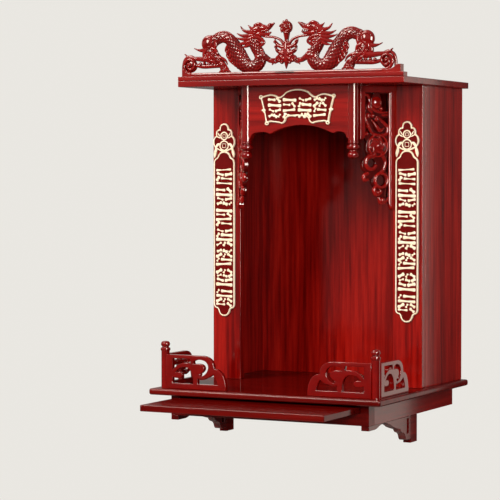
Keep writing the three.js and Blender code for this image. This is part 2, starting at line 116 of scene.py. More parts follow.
class ShaderKit:
    """Makes the nodes of one material or of the surround."""

    def __init__(self, owner: bpy.types.Material | bpy.types.World, shader: str = "Principled BSDF") -> None:
        """Starts the node tree of a new material or world and keeps its shader."""
        self.owner = owner
        self.owner.use_nodes = True
        self.nodes = self.owner.node_tree.nodes
        self.links = self.owner.node_tree.links
        self.shader = self.nodes[shader]

    @classmethod
    def paint(cls, name: str) -> "ShaderKit":
        return cls(bpy.data.materials.new(name))

    def node(self, kind: str, settings: dict, values: dict | list, output: int | str = 0) -> Value:
        """Adds a node.

        Args:
            kind: the node's type name.
            settings: attributes to set first; "stops" is a ramp's list of (place, colour).
            values: numbers, colours or Values by socket name, or in order.
            output: which output is returned.

        Returns:
            The chosen output.
        """
        made = self.nodes.new(kind)
        for key, value in settings.items():
            if key == "stops":
                self._set_stops(made.color_ramp, value)
            else:
                setattr(made, key, value)
        pairs = values.items() if isinstance(values, dict) else enumerate(values)
        for key, value in pairs:
            self.feed(made.inputs[key], value)
        return Value(self, made.outputs[output])

    def feed(self, socket: bpy.types.NodeSocket, value: object) -> None:
        """Links a Value to a socket, or sets a plain value on it."""
        if isinstance(value, Value):
            self.links.new(value.socket, socket)
        else:
            socket.default_value = value

    @staticmethod
    def _set_stops(ramp: bpy.types.ColorRamp, stops: list[tuple[float, Triple]]) -> None:
        """Puts the stops into a colour ramp."""
        while len(ramp.elements) < len(stops):
            ramp.elements.new(0.5)
        for element, (place, colour) in zip(ramp.elements, stops):
            element.position = place
            element.color = (*colour, 1.0)

    def mix(self, share: Value, first: object, second: object) -> Value:
        """A colour mixed from two others by a share."""
        first, second = [(*c, 1.0) if isinstance(c, tuple) else c for c in (first, second)]
        return self.node("ShaderNodeMix", {"data_type": "RGBA"}, {0: share, 6: first, 7: second}, output=2)

    def noise(self, grain: Grain, scale: float, detail: float, roughness: float) -> Value:
        """Noise on the piece's own coordinates, from about 0.25 to 0.75, stretched along the grain."""
        place = self.node("ShaderNodeTexCoord", {}, {}, output="Object")
        moved = self.node("ShaderNodeMapping", {}, {"Vector": place, "Scale": grain.value})
        values = {"Vector": moved, "Scale": scale, "Detail": detail, "Roughness": roughness}
        return self.node("ShaderNodeTexNoise", {}, values, output="Fac")

    def bump(self, strength: float, distance: float, height: Value) -> Value:
        """A bumped normal from a height, at a strength and a distance in metres."""
        return self.node("ShaderNodeBump", {}, {"Strength": strength, "Distance": distance, "Height": height})

    def finish(self, **sockets: object) -> bpy.types.Material:
        """Feeds the shader's sockets and returns the material."""
        for name, value in sockets.items():
            self.feed(self.shader.inputs[name.replace("_", " ")], value)
        return self.owner

    def lacquer(
        self, colour: Value, rough: Value, bump: Value, coat: float, shine: float,
    ) -> bpy.types.Material:
        """Feeds a dull colour under a clear coat.

        Args:
            colour: the colour.
            rough: roughness of the colour.
            bump: the bumped normal.
            coat: weight of the clear coat.
            shine: roughness of the clear coat.

        Returns:
            The material.
        """
        return self.finish(
            Base_Color=colour, Roughness=rough, Normal=bump, Specular_IOR_Level=0.0,
            Coat_Weight=coat, Coat_Roughness=shine, Coat_IOR=COAT_IOR,
        )


@dataclass(frozen=True)
class Lacquer:
    """Clear-coated red lacquer with streaks of grain showing through.

    Args:
        name: the material's name.
        dark: colour of the deepest streaks.
        mid: colour between them.
        light: colour of the brightest streaks.
        grain: which way the streaks run.
        shine: roughness of the clear coat.
        contrast: how strongly the streaks differ.
        coat: weight of the clear coat.
        relief: strength of the grain's bump.
    """

    name: str
    dark: Triple
    mid: Triple
    light: Triple
    grain: Grain = Grain.UPRIGHT
    shine: float = 0.13
    contrast: float = 1.0
    coat: float = 0.75
    relief: float = 0.05

    def build(self) -> bpy.types.Material:
        """Builds the material: broad bands, fine streaks and thin dark pores along the grain."""
        kit = ShaderKit.paint(self.name)
        band = kit.noise(self.grain, scale=26.0, detail=2.0, roughness=0.5)
        streak = kit.noise(self.grain, scale=130.0, detail=4.0, roughness=0.62)
        pore = kit.noise(self.grain, scale=520.0, detail=2.0, roughness=0.5)
        tone = (band * 0.42 + streak * 0.58 - 0.5) * (3.4 * self.contrast) + 0.5
        stops = [(0.08, self.dark), (0.5, self.mid), (0.92, self.light)]
        wood = kit.node("ShaderNodeValToRGB", {"stops": stops}, [tone])
        lines = pore.between(0.54, 0.68) * (0.4 * self.contrast)
        colour = kit.mix(lines, wood, self.dark)
        bump = kit.bump(self.relief, 0.3 * MM, streak * 0.6 + pore * 0.4)
        return kit.lacquer(colour, streak * 0.16 + 0.4, bump, self.coat, self.shine)


@dataclass(frozen=True)
class CarvedLacquer:
    """Lacquer on carved work, with painted shade that darkens it in the hollows.

    Args:
        name: the material's name.
        deep: colour of the painted shade in the hollows.
        raised: colour on what stands out.
        shine: roughness of the clear coat.
        coat: weight of the clear coat.
    """

    name: str
    deep: Triple
    raised: Triple
    shine: float = 0.06
    coat: float = 0.9

    def build(self) -> bpy.types.Material:
        """Builds the material: painted shade from the surface's own curvature, and small noise in the tone."""
        kit = ShaderKit.paint(self.name)
        fine = kit.noise(Grain.EVEN, scale=260.0, detail=3.0, roughness=0.6)
        broad = kit.noise(Grain.EVEN, scale=45.0, detail=2.0, roughness=0.5)
        # Painted shade: the colour darkens towards deep where the surface is hollow, read from its curvature.
        curve_shade = kit.node("ShaderNodeNewGeometry", {}, {}, output="Pointiness").between(0.47, 0.54)
        share = curve_shade * 0.75 + (broad - 0.5) * 0.8 + 0.12
        colour = kit.mix(share, self.deep, self.raised)
        bump = kit.bump(0.1, 0.4 * MM, fine)
        return kit.lacquer(colour, fine * 0.14 + 0.3, bump, self.coat, self.shine)


@dataclass(frozen=True)
class Gilt:
    """Pale gold paint on raised rims and strokes.

    Args:
        name: the material's name.
        pale: its main colour.
        warm: its colour in small patches.
    """

    name: str
    pale: Triple
    warm: Triple

    def build(self) -> bpy.types.Material:
        """Builds the material: pale gold that turns warmer in small patches."""
        kit = ShaderKit.paint(self.name)
        patch = kit.noise(Grain.EVEN, scale=180.0, detail=3.0, roughness=0.6)
        colour = kit.mix(patch.between(0.42, 0.7), self.pale, self.warm)
        bump = kit.bump(0.15, 0.4 * MM, patch)
        return kit.finish(Base_Color=colour, Roughness=patch * 0.2 + 0.3, Normal=bump)


class Finishes:
    """The materials that the pieces share."""

    def __init__(self) -> None:
        """Builds each finish once."""
        wood = (0.12, 0.0005, 0.0003), (0.265, 0.004, 0.002), (0.4, 0.01, 0.005)
        trim = (0.1, 0.0005, 0.0003), (0.2, 0.003, 0.0018), (0.3, 0.008, 0.005)
        base = (0.06, 0.0004, 0.0003), (0.115, 0.002, 0.0012), (0.17, 0.005, 0.003)
        hidden = (0.05, 0.0006, 0.0004), (0.12, 0.003, 0.002), (0.19, 0.007, 0.005)
        self.front = Lacquer("front_lacquer", *wood).build()
        self.across = Lacquer("across_lacquer", *wood, Grain.ACROSS, contrast=0.75, relief=0.015).build()
        self.cap = Lacquer("cap_lacquer", *trim, Grain.ACROSS, contrast=0.75, relief=0.015).build()
        self.inward = Lacquer("inward_lacquer", *trim, Grain.INWARD, contrast=0.7).build()
        self.shelf = Lacquer(
            "shelf_lacquer", *base, Grain.ACROSS, contrast=0.7, coat=0.45, relief=0.01,
        ).build()
        self.foot = Lacquer("foot_lacquer", *base, Grain.INWARD, contrast=0.7).build()
        self.under = Lacquer("under_lacquer", *hidden, Grain.INWARD, coat=0.25).build()
        # Each carved finish darkens to its first colour in the hollows: painted shade.
        self.carved = CarvedLacquer("carved_lacquer", (0.02, 0.0003, 0.0003), (0.25, 0.004, 0.003)).build()
        self.rail = CarvedLacquer("rail_lacquer", (0.1, 0.0006, 0.0005), (0.22, 0.0025, 0.0015)).build()
        self.wing = CarvedLacquer("wing_lacquer", (0.03, 0.0004, 0.0003), (0.34, 0.005, 0.003)).build()
        # The plaque ground's own darker red, which darkens further in its hollows as painted shade.
        shade_tone, level = (0.06, 0.0006, 0.0005), (0.17, 0.003, 0.0025)
        self.ground = CarvedLacquer("plaque_ground", shade_tone, level, shine=0.2, coat=0.35).build()
        # The wing's ground plate is painted much darker than the wing: painted shade behind the scrolls.
        shade_tone, level = (0.02, 0.0004, 0.0003), (0.13, 0.002, 0.0015)
        self.shaded_ground = CarvedLacquer("painted_shade_ground", shade_tone, level, shine=0.12, coat=0.6).build()
        self.gilt = Gilt("pale_gilt", (1.0, 0.92, 0.74), (0.95, 0.8, 0.54)).build()


# --- shapes on a plane ---


def outline(steps: Line | tuple[Step, ...], per: int = 8) -> Array:
    """Points of an outline on a plane.

    Formula: a step (x, y) goes there straight, and a step (cx, cy, x, y) goes there on the quadratic curve
    (1-t)^2 p + 2t(1-t) c + t^2 q.

    Args:
        steps: the corners and curves, in order.
        per: how many points each curve takes.

    Returns:
        An array of points, one a row.
    """
    points = [np.array(steps[0], float)[None]]
    share = (np.arange(per) + 1.0)[:, None] / per
    for step in steps[1:]:
        here = points[-1][-1]
        if len(step) == 2:
            points.append(np.array(step, float)[None])
        else:
            bend, end = np.array(step[:2]), np.array(step[2:])
            points.append((1 - share) ** 2 * here + 2 * share * (1 - share) * bend + share**2 * end)
    return np.concatenate(points)


def mirrored_loop(steps: Line) -> Array:
    """A closed loop from the outline of its right half, which starts and ends on the middle line."""
    half = outline(steps)
    return np.concatenate([half, (half * [-1, 1])[::-1][1:-1]])


def circle(x: float, y: float, radius: float, count: int = 24) -> Array:
    """Points round a circle: (x + radius cos a, y + radius sin a) at even angles a."""
    angle = np.linspace(0, 2 * np.pi, count, endpoint=False)
    return np.stack([x + radius * np.cos(angle), y + radius * np.sin(angle)], axis=1)


def spiral(x: float, y: float, radii: Pair, turn: Pair, half: Pair, count: int) -> Array:
    """Strand points on a spiral.

    Formula: radius and half width go in equal steps from their first value to their last while the angle
    turns.

    Args:
        x: middle of the spiral, to the right.
        y: middle of the spiral, up.
        radii: first and last radius.
        turn: first and last angle, in degrees.
        half: first and last half width.
        count: how many points.

    Returns:
        Rows of x, y and half width.
    """
    angle = np.radians(np.linspace(*turn, count))
    radius = np.linspace(*radii, count)
    rows = [x + radius * np.cos(angle), y + radius * np.sin(angle), np.linspace(*half, count)]
    return np.stack(rows, axis=1)


def smooth(points: Array, pitch: float) -> Array:
    """A smooth line through rows of numbers, with points at about an even pitch along x and y.

    Formula: a Catmull-Rom curve, 0.5 (2b + (c-a)t + (2a-5b+4c-d)t^2 + (3b-3c+d-a)t^3), on every span.

    Args:
        points: rows whose first two numbers are x and y.
        pitch: distance between the new points.

    Returns:
        The new rows.
    """
    p = np.asarray(points, float)
    row = np.concatenate([2 * p[:1] - p[1:2], p, 2 * p[-1:] - p[-2:-1]])
    a, b, c, d = (part[:, None, :] for part in (row[:-3], row[1:-2], row[2:-1], row[3:]))
    t = np.linspace(0, 1, 12, endpoint=False)[None, :, None]
    dense = 0.5 * (2 * b + (c - a) * t + (2 * a - 5 * b + 4 * c - d) * t**2 + (3 * b - 3 * c + d - a) * t**3)
    dense = np.concatenate([dense.reshape(-1, p.shape[1]), p[-1:]])
    run = np.concatenate([[0], np.cumsum(np.linalg.norm(np.diff(dense[:, :2], axis=0), axis=1))])
    place = np.linspace(0, run[-1], max(4, int(run[-1] / pitch) + 1))
    return np.stack([np.interp(place, run, column) for column in dense.T], axis=1)


def tangents(line: Array, closed: bool = False) -> Array:
    """Unit directions along a line of x, y points, which may be a closed loop."""
    if closed:
        step = np.roll(line, -1, axis=0) - np.roll(line, 1, axis=0)
    else:
        step = np.gradient(line, axis=0)
    return step / np.maximum(np.linalg.norm(step, axis=1, keepdims=True), 1e-9)


# --- shells ---


def tube(points: Array, closed: bool = False) -> Shell:
    """The faces of a tube over a grid of points.

    Formula: point (i, j) joins (i+1, j) and (i, j+1), j wraps round, and the two end rows are closed by one
    face each, or row i wraps round too when the tube is a closed ring.

    Args:
        points: rows, columns and x, y, z.
        closed: whether the last row runs on into the first.

    Returns:
        Its points, its faces' corner numbers end to end, and the faces' corner counts.
    """
    rows, columns = points.shape[:2]
    number = np.arange(rows * columns).reshape(rows, columns)
    if closed:
        number = np.concatenate([number, number[:1]])
    right = np.roll(number, -1, axis=1)
    quads = np.stack([number[:-1], right[:-1], right[1:], number[1:]], axis=-1).reshape(-1, 4)
    corners, sizes = [quads.ravel()], [np.full(len(quads), 4)]
    if not closed:
        corners += [number[0][::-1], number[-1]]
        sizes.append(np.array([columns, columns]))
    return points.reshape(-1, 3), np.concatenate(corners), np.concatenate(sizes)


def rounded_box(low: Array, high: Array, ease: float, arc: int = 4) -> Shell:
    """A box with rounded arrises and corners.

    Formula: a ball of radius ease, cut into its eight octants, each moved out to a corner; the point with
    direction n in the octant with signs s is middle + s * (half - ease) + ease * n.

    Args:
        low: lowest corner.
        high: highest corner.
        ease: radius of the arrises.
        arc: steps in a quarter turn.

    Returns:
        Its points, its faces' corner numbers and the faces' corner counts.
    """
    middle, out = (low + high) / 2, (high - low) / 2 - ease
    quarter = np.linspace(0, np.pi / 2, arc + 1)
    turn = np.concatenate([quarter + k * np.pi / 2 for k in range(4)])
    tilt = np.concatenate([quarter - np.pi / 2, quarter])[:, None]
    sign_x, sign_y = np.repeat([1, -1, -1, 1], arc + 1), np.repeat([1, 1, -1, -1], arc + 1)
    sign_z = np.repeat([-1, 1], arc + 1)[:, None]
    x = sign_x * out[0] + ease * np.cos(tilt) * np.cos(turn)
    y = sign_y * out[1] + ease * np.cos(tilt) * np.sin(turn)
    z = sign_z * out[2] + ease * np.sin(tilt) + 0 * turn
    return tube(np.stack([x, y, z], axis=-1) + middle)


def lathed(profile: tuple[Step, ...], place: Triple, segments: int = 48) -> Shell:
    """A turned piece.

    Formula: the profile's (radius, height) points, with every curve between them sampled, turned about Z.

    Args:
        profile: steps of an outline from the bottom to the top, in millimetres.
        place: where the profile's zero stands on the axis, in metres.
        segments: steps in a full turn.

    Returns:
        Its points, its faces' corner numbers and the faces' corner counts, in metres.
    """
    radius, height = (outline(profile, 6) * MM).T[:, :, None]
    turn = np.linspace(0, 2 * np.pi, segments, endpoint=False)
    x, y, z = place
    points = [x + radius * np.cos(turn), y + radius * np.sin(turn), z + height + 0 * turn]
    return tube(np.stack(points, axis=-1))


def make_object(name: str, points: Array, corners: Array, sizes: Array) -> bpy.types.Object:
    """Puts shells into a new mesh object, their doubles merged and their faces pointing outwards.

    Args:
        name: the object's name.
        points: the points, in metres.
        corners: the faces' corner numbers, end to end.
        sizes: each face's corner count.

    Returns:
        The new object, at the origin of the frame with its place in its mesh.
    """
    mesh = bpy.data.meshes.new(name)
    mesh.vertices.add(len(points))
    mesh.vertices.foreach_set("co", points.astype(np.float32).ravel())
    mesh.loops.add(len(corners))
    mesh.loops.foreach_set("vertex_index", corners.astype(np.int32))
    mesh.polygons.add(len(sizes))
    starts = np.concatenate([[0], np.cumsum(sizes)[:-1]])
    mesh.polygons.foreach_set("loop_start", starts.astype(np.int32))
    mesh.polygons.foreach_set("loop_total", sizes.astype(np.int32))
    mesh.update(calc_edges=True)
    shell = bmesh.new()
    shell.from_mesh(mesh)
    bmesh.ops.remove_doubles(shell, verts=shell.verts, dist=MERGE)
    bmesh.ops.recalc_face_normals(shell, faces=shell.faces)
    shell.to_mesh(mesh)
    shell.free()
    return place_object(name, mesh)


def place_object(name: str, data: bpy.types.ID) -> bpy.types.Object:
    """Links a new object with some data into the scene and returns it."""
    made = bpy.data.objects.new(name, data)
    bpy.context.scene.collection.objects.link(made)
    return made


def dress(
    piece: bpy.types.Object, material: bpy.types.Material, node: str = "", body: str = CABINET,
    sharp: float = 50,
) -> None:
    """Gives a piece its material and shading, hangs it on its body, and hides the node it stands for.

    Args:
        piece: the piece.
        material: its finish.
        node: the node it stands for, or nothing when it only rides along.
        body: the body it rides on.
        sharp: angle in degrees over which an edge stays sharp.
    """
    piece.data.materials.clear()
    piece.data.materials.append(material)
    piece.data.shade_smooth()
    piece.data.set_sharp_from_angle(angle=math.radians(sharp))
    piece.modifiers.new("even_faces", "WEIGHTED_NORMAL").keep_sharp = True
    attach(piece, body)
    if node:
        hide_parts(node)
    LOG.info("%s: %d faces", piece.name, len(piece.data.polygons))


class Surface(Enum):
    """How the surface of a strand is cut."""

    PLAIN = "plain"
    SCALED = "scaled"
    FLUTED = "fluted"


class Carving:
    """Closed shells drawn on a plane, in millimetres: x right, y up and z out of the face."""

    # A strand's rounded end: how many sections, its length as a share of the half width, and how open its tip.
    END_ROWS, END_LENGTH, END_OPEN = 4, 0.9, 1.001
    # A strand's least half width, and its least depth as a share of the depth that is asked for.
    THINNEST, FLATTEST = 0.25, 0.35
    # The cuts: distance between scales, depth as a share of the radius, and what is taken off to keep the size.
    SCALE_PITCH, CUT_DEPTH, SCALE_REST, FLUTE_REST = 4.4, 0.12, 0.08, 0.06
    # Where a ridge's round top begins, as a share of its height.
    SHOULDER = 0.35
    # Rows and columns of a bead and of a ring, and how far a bead's end rows stay off its poles, in radians.
    BEAD_ROWS, BEAD_COLUMNS, BEAD_POLE = 11, 24, 0.02
    RING_ROWS, RING_COLUMNS = 40, 14

    def __init__(self) -> None:
        """Starts with nothing drawn."""
        self.points: list[Array] = []
        self.corners: list[Array] = []
        self.sizes: list[Array] = []
        self.count = 0

    def add(self, points: Array, corners: Array, sizes: Array) -> None:
        """Adds a shell: its points, its faces' corner numbers end to end, and the faces' corner counts."""
        self.points.append(points)
        self.corners.append(corners + self.count)
        self.sizes.append(sizes)
        self.count += len(points)

    def join(self, other: "Carving", shift: float) -> None:
        """Adds every shell of another carving, moved along x."""
        for points, corners, sizes in zip(other.points, other.corners, other.sizes):
            self.add(points + [shift, 0, 0], corners - corners.min(), sizes)

    def strand(
        self, points: Line | Array, lift: float, deep: float, cut: Surface = Surface.PLAIN,
        pitch: float = 1.8, sides: int = 14, full: float = 0.85,
    ) -> None:
        """Adds a carved strand with rounded ends.

        Formula: at distance s along a smooth line, the section at angle a is the point
        n * half(s) * cos(a)^full + z * deep * sin(a)^full, so it is an ellipse that is fuller when full is
        small; the cut adds a share of the radius: lozenges sin(u+v) sin(u-v) for scales, sin(3a) for flutes.

        Args:
            points: rows of x, y and half width.
            lift: height of the strand's middle above the plane's zero.
            deep: half of its depth.
            cut: how its surface is cut.
            pitch: distance between sections.
            sides: corners of a section.
            full: power that makes the section fuller.
        """
        rows = smooth(points, pitch)
        line, half = rows[:, :2], np.maximum(rows[:, 2], self.THINNEST)
        along = tangents(line)
        share = np.sin(np.linspace(0, np.pi / 2, self.END_ROWS + 1)[1:])
        taper = np.sqrt(self.END_OPEN - share**2)
        start = line[0] - along[0] * half[0] * self.END_LENGTH * share[::-1, None]
        end = line[-1] + along[-1] * half[-1] * self.END_LENGTH * share[:, None]
        shrink = np.concatenate([taper[::-1], np.ones(len(line)), taper])
        line = np.concatenate([start, line, end])
        half = np.pad(half, self.END_ROWS, mode="edge") * shrink
        along = np.pad(along, ((self.END_ROWS, self.END_ROWS), (0, 0)), mode="edge")
        angle = np.linspace(0, 2 * np.pi, sides, endpoint=False)[None, :]
        size = np.ones((len(line), sides))
        if cut is Surface.SCALED:
            run = np.cumsum(np.concatenate([[0], np.linalg.norm(np.diff(line, axis=0), axis=1)]))
            u = run[:, None] / self.SCALE_PITCH * np.pi
            v = angle * np.round(half.max() * np.pi / self.SCALE_PITCH)
            lozenge = np.sqrt(np.abs(np.sin((u + v) / 2) * np.sin((u - v) / 2)))
            size += self.CUT_DEPTH * lozenge - self.SCALE_REST
        if cut is Surface.FLUTED:
            size += self.CUT_DEPTH * np.abs(np.sin(angle * 3)) - self.FLUTE_REST
        across = np.sign(np.cos(angle)) * np.abs(np.cos(angle)) ** full * half[:, None] * size
        rise = np.sign(np.sin(angle)) * np.abs(np.sin(angle)) ** full * size
        deeps = np.minimum(deep, np.maximum(half, deep * self.FLATTEST))[:, None] * shrink[:, None] ** 0.5
        x = line[:, :1] - along[:, 1:] * across
        y = line[:, 1:] + along[:, :1] * across
        self.add(*tube(np.stack([x, y, lift + rise * deeps], axis=-1)))

    def strands(self, lines: list[Line], lift: float, deep: float, cut: Surface = Surface.PLAIN) -> None:
        """Adds several strands with one height, depth and cut."""
        for line in lines:
            self.strand(line, lift, deep, cut)

    def ridge(self, loop: Array, half: float, base: float, top: float) -> None:
        """Adds a rounded rib along a closed line.

        Formula: the section is flat below and follows the half ellipse (half cos(a), height sin(a)) above.

        Args:
            loop: x, y points of the rib's middle line.
            half: half of its width.
            base: height of its underside.
            top: height of its crown.
        """
        along = tangents(loop, closed=True)
        angle = np.linspace(0, np.pi, 9)
        shoulder = base + self.SHOULDER * (top - base)
        across = np.pad(np.cos(angle) * half, 1, mode="edge")
        rise = np.pad(shoulder + np.sin(angle) * (top - shoulder), 1, constant_values=base)
        x = loop[:, :1] - along[:, 1:] * across
        y = loop[:, 1:] + along[:, :1] * across
        self.add(*tube(np.stack([x, y, np.broadcast_to(rise, x.shape)], axis=-1), closed=True))

    def bead(
        self, x: float, y: float, radius: float, lift: float, deep: float, wave: float = 0.0, lobes: int = 6,
    ) -> None:
        """Adds a ball, flattened to a depth.

        Formula: radius * (1 + wave cos(lobes a)) * sin(b) round the plane at angle a, and deep * cos(b) out
        of it.

        Args:
            x: its middle, to the right.
            y: its middle, up.
            radius: its radius on the plane.
            lift: height of its middle.
            deep: half of its depth.
            wave: how much its rim waves, as a share of the radius.
            lobes: how many waves.
        """
        turn = np.linspace(0, 2 * np.pi, self.BEAD_COLUMNS, endpoint=False)[None, :]
        tilt = np.linspace(self.BEAD_POLE, np.pi - self.BEAD_POLE, self.BEAD_ROWS)[:, None]
        size = radius * np.sin(tilt) * (1 + wave * np.cos(lobes * turn))
        points = [x + size * np.cos(turn), y + size * np.sin(turn), lift + deep * np.cos(tilt) + 0 * turn]
        self.add(*tube(np.stack(points, axis=-1)[:, ::-1]))

    def beads(self, places: list[Triple], lift: float, deep: float) -> None:
        """Adds a ball at each x and y, with its radius, at one height and depth."""
        for x, y, radius in places:
            self.bead(x, y, radius, lift, deep)

    def ring(self, x: float, y: float, radius: float, half: float, lift: float, deep: float) -> None:
        """Adds a round hoop.

        Formula: a torus whose section is the ellipse (half cos(a), deep sin(a)).

        Args:
            x: its middle, to the right.
            y: its middle, up.
            radius: radius of the section's middle line.
            half: half of the section's width.
            lift: height of its middle.
            deep: half of its depth.
        """
        turn = np.linspace(0, 2 * np.pi, self.RING_ROWS, endpoint=False)[:, None]
        angle = np.linspace(0, 2 * np.pi, self.RING_COLUMNS, endpoint=False)[None, :]
        size = radius + half * np.cos(angle)
        points = [x + size * np.cos(turn), y + size * np.sin(turn), lift + deep * np.sin(angle) + 0 * turn]
        self.add(*tube(np.stack(points, axis=-1), closed=True))

    def plate(self, loops: list[Array], back: float, front: float, ease: float) -> None:
        """Adds a board cut to an outline, with openings and rounded arrises.

        Args:
            loops: the outline, then the openings.
            back: height of its rear face.
            front: height of its front face.
            ease: radius of the arrises.
        """
        curve = bpy.data.curves.new("plate", "CURVE")
        curve.dimensions, curve.fill_mode = "2D", "BOTH"
        curve.bevel_depth, curve.bevel_resolution, curve.offset = ease, 2, -ease
        curve.extrude = (front - back) / 2 - ease
        for loop in loops:
            spline = curve.splines.new("POLY")
            spline.points.add(len(loop) - 1)
            spline.points.foreach_set("co", np.pad(loop, ((0, 0), (0, 2)), constant_values=(0, 1)).ravel())
            spline.use_cyclic_u = True
        holder = place_object("plate", curve)
        bpy.context.view_layer.update()
        mesh = bpy.data.meshes.new_from_object(holder)
        points, corners = np.zeros(len(mesh.vertices) * 3), np.zeros(len(mesh.loops), int)
        sizes = np.zeros(len(mesh.polygons), int)
        mesh.vertices.foreach_get("co", points)
        mesh.loops.foreach_get("vertex_index", corners)
        mesh.polygons.foreach_get("loop_total", sizes)
        self.add(points.reshape(-1, 3) + [0, 0, (front + back) / 2], corners, sizes)
        bpy.data.objects.remove(holder)
        bpy.data.curves.remove(curve)
        bpy.data.meshes.remove(mesh)

    def mirrored(self) -> "Carving":
        """The same carving with x negated."""
        other = Carving()
        other.points = [points * [-1, 1, 1] for points in self.points]
        other.corners, other.sizes, other.count = list(self.corners), list(self.sizes), self.count
        return other

    def stood(self, name: str, origin: Step, turn: float = 0.0) -> bpy.types.Object:
        """Makes the mesh: stands the drawing upright at an origin, its face turned to -Y and then about Z.

        Args:
            name: the piece's name.
            origin: where the drawing's zero goes, in metres.
            turn: how far it is turned about Z, in radians.

        Returns:
            The new object.
        """
        x, y, z = np.concatenate(self.points).T * MM
        cos, sin = math.cos(turn), math.sin(turn)
        stood = np.stack([x * cos + z * sin, x * sin - z * cos, y], axis=1) + np.array(origin)
        return make_object(name, stood, np.concatenate(self.corners), np.concatenate(self.sizes))


# --- the cabinet's sub-assemblies ---


def middle(node: str) -> Pair:
    """The x and y of the middle of a node's box."""
    low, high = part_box(node)
    return (low.x + high.x) / 2, (low.y + high.y) / 2


@dataclass
class Board:
    """A plain board with eased arrises that stands for a CAD board.

    Args:
        node: the board's node.
        finish: its material.
        ease: radius of its arrises, in millimetres.
        body: the body it rides on.
    """

    node: str
    finish: bpy.types.Material
    ease: float = 0.8
    body: str = CABINET

    def build(self) -> None:
        """Builds the board from its node's box."""
        low, high = (np.array(corner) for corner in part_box(self.node))
        piece = make_object(f"{self.node}_board", *rounded_box(low, high, self.ease * MM))
        dress(piece, self.finish, self.node, self.body, sharp=80)


@dataclass
class EasedNode:
    """A copy of a CAD node with its flat faces joined and its arrises rounded.

    Args:
        node: the node that is copied.
        finish: its material.
        ease: width of the arrises, in millimetres.
    """

    node: str
    finish: bpy.types.Material
    ease: float = 0.8

    def build(self) -> None:
        """Builds the copy."""
        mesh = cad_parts[self.node].data.copy()
        mesh.name = f"{self.node}_eased"
        shell = bmesh.new()
        shell.from_mesh(mesh)
        bmesh.ops.remove_doubles(shell, verts=shell.verts, dist=NODE_MERGE)
        bmesh.ops.dissolve_limit(shell, angle_limit=math.radians(1), verts=shell.verts, edges=shell.edges)
        shell.to_mesh(mesh)
        shell.free()
        piece = place_object(mesh.name, mesh)
        bevel = piece.modifiers.new("arrises", "BEVEL")
        bevel.width, bevel.segments, bevel.angle_limit = self.ease * MM, 3, math.radians(35)
        dress(piece, self.finish, self.node, sharp=35)


@dataclass
class CaseWork:
    """The boards of the case, the shelf under it and what is under the shelf."""

    finishes: Finishes

    def build(self) -> None:
        """Builds every board."""
        f = self.finishes
        Board("base_slab", f.shelf, ease=4.0).build()
        Board("top_board", f.cap, ease=1.4).build()
        Board("back_panel", f.front, ease=0.3).build()
        Board("apron_front_rail", f.shelf).build()
        Board("apron_back", f.under).build()
        Board("pull_out_tray", f.shelf, ease=1.6, body=TRAY).build()
        for side in SIDES:
            Board(f"{side}_side_panel", f.front, ease=0.4).build()
            Board(f"{side}_pilaster", f.front, ease=1.2).build()
            Board(f"apron_{side}_side", f.inward, ease=0.3).build()
            Board(f"{side}_tray_runner", f.under).build()
            Board(f"{side}_bracket_batten", f.under).build()
            EasedNode(f"apron_{side}_post", f.shelf, ease=0.3).build()
            EasedNode(f"{side}_bracket", f.foot).build()


@dataclass
class TurnedWork:
    """The hanging columns and the railing posts."""

    finishes: Finishes
    column: tuple[Step, ...] = (
        (0.01, -140), (6, -140, 9.6, -137), (12.5, -132, 9.5, -128), (7.5, -126.4, 7.4, -124.6),
        (7.4, -122.8, 10.6, -121.4), (12.8, -120, 12.4, -116.6), (12.3, -113.6, 9.2, -112.9),
        (8.6, -111.8, 10.4, -110.4), (11.4, -108.6, 10.4, -107), (9.6, -106.2, 10, -105), (10, 0), (0.01, 0),
    )
    post: tuple[Step, ...] = (
        (0.01, 0), (8, 0), (8, 70), (8.2, 71, 9, 71.6), (9.7, 74, 9, 76.4), (6.6, 77, 6.4, 78.4),
        (6.5, 79.6, 8, 80.6), (10, 85, 6.5, 88.4), (4, 89.6, 0.01, 89.6),
    )

    def build(self) -> None:
        """Builds both pairs on their nodes' axes, the columns from the top and the posts from the foot."""
        for side in SIDES:
            for name, profile, level in (("drop_column", self.column, 1), ("railing_post", self.post, 0)):
                node = f"{side}_{name}"
                shape = lathed(profile, (*middle(node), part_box(node)[level].z))
                dress(make_object(f"{node}_turned", *shape), self.finishes.rail, node, sharp=40)


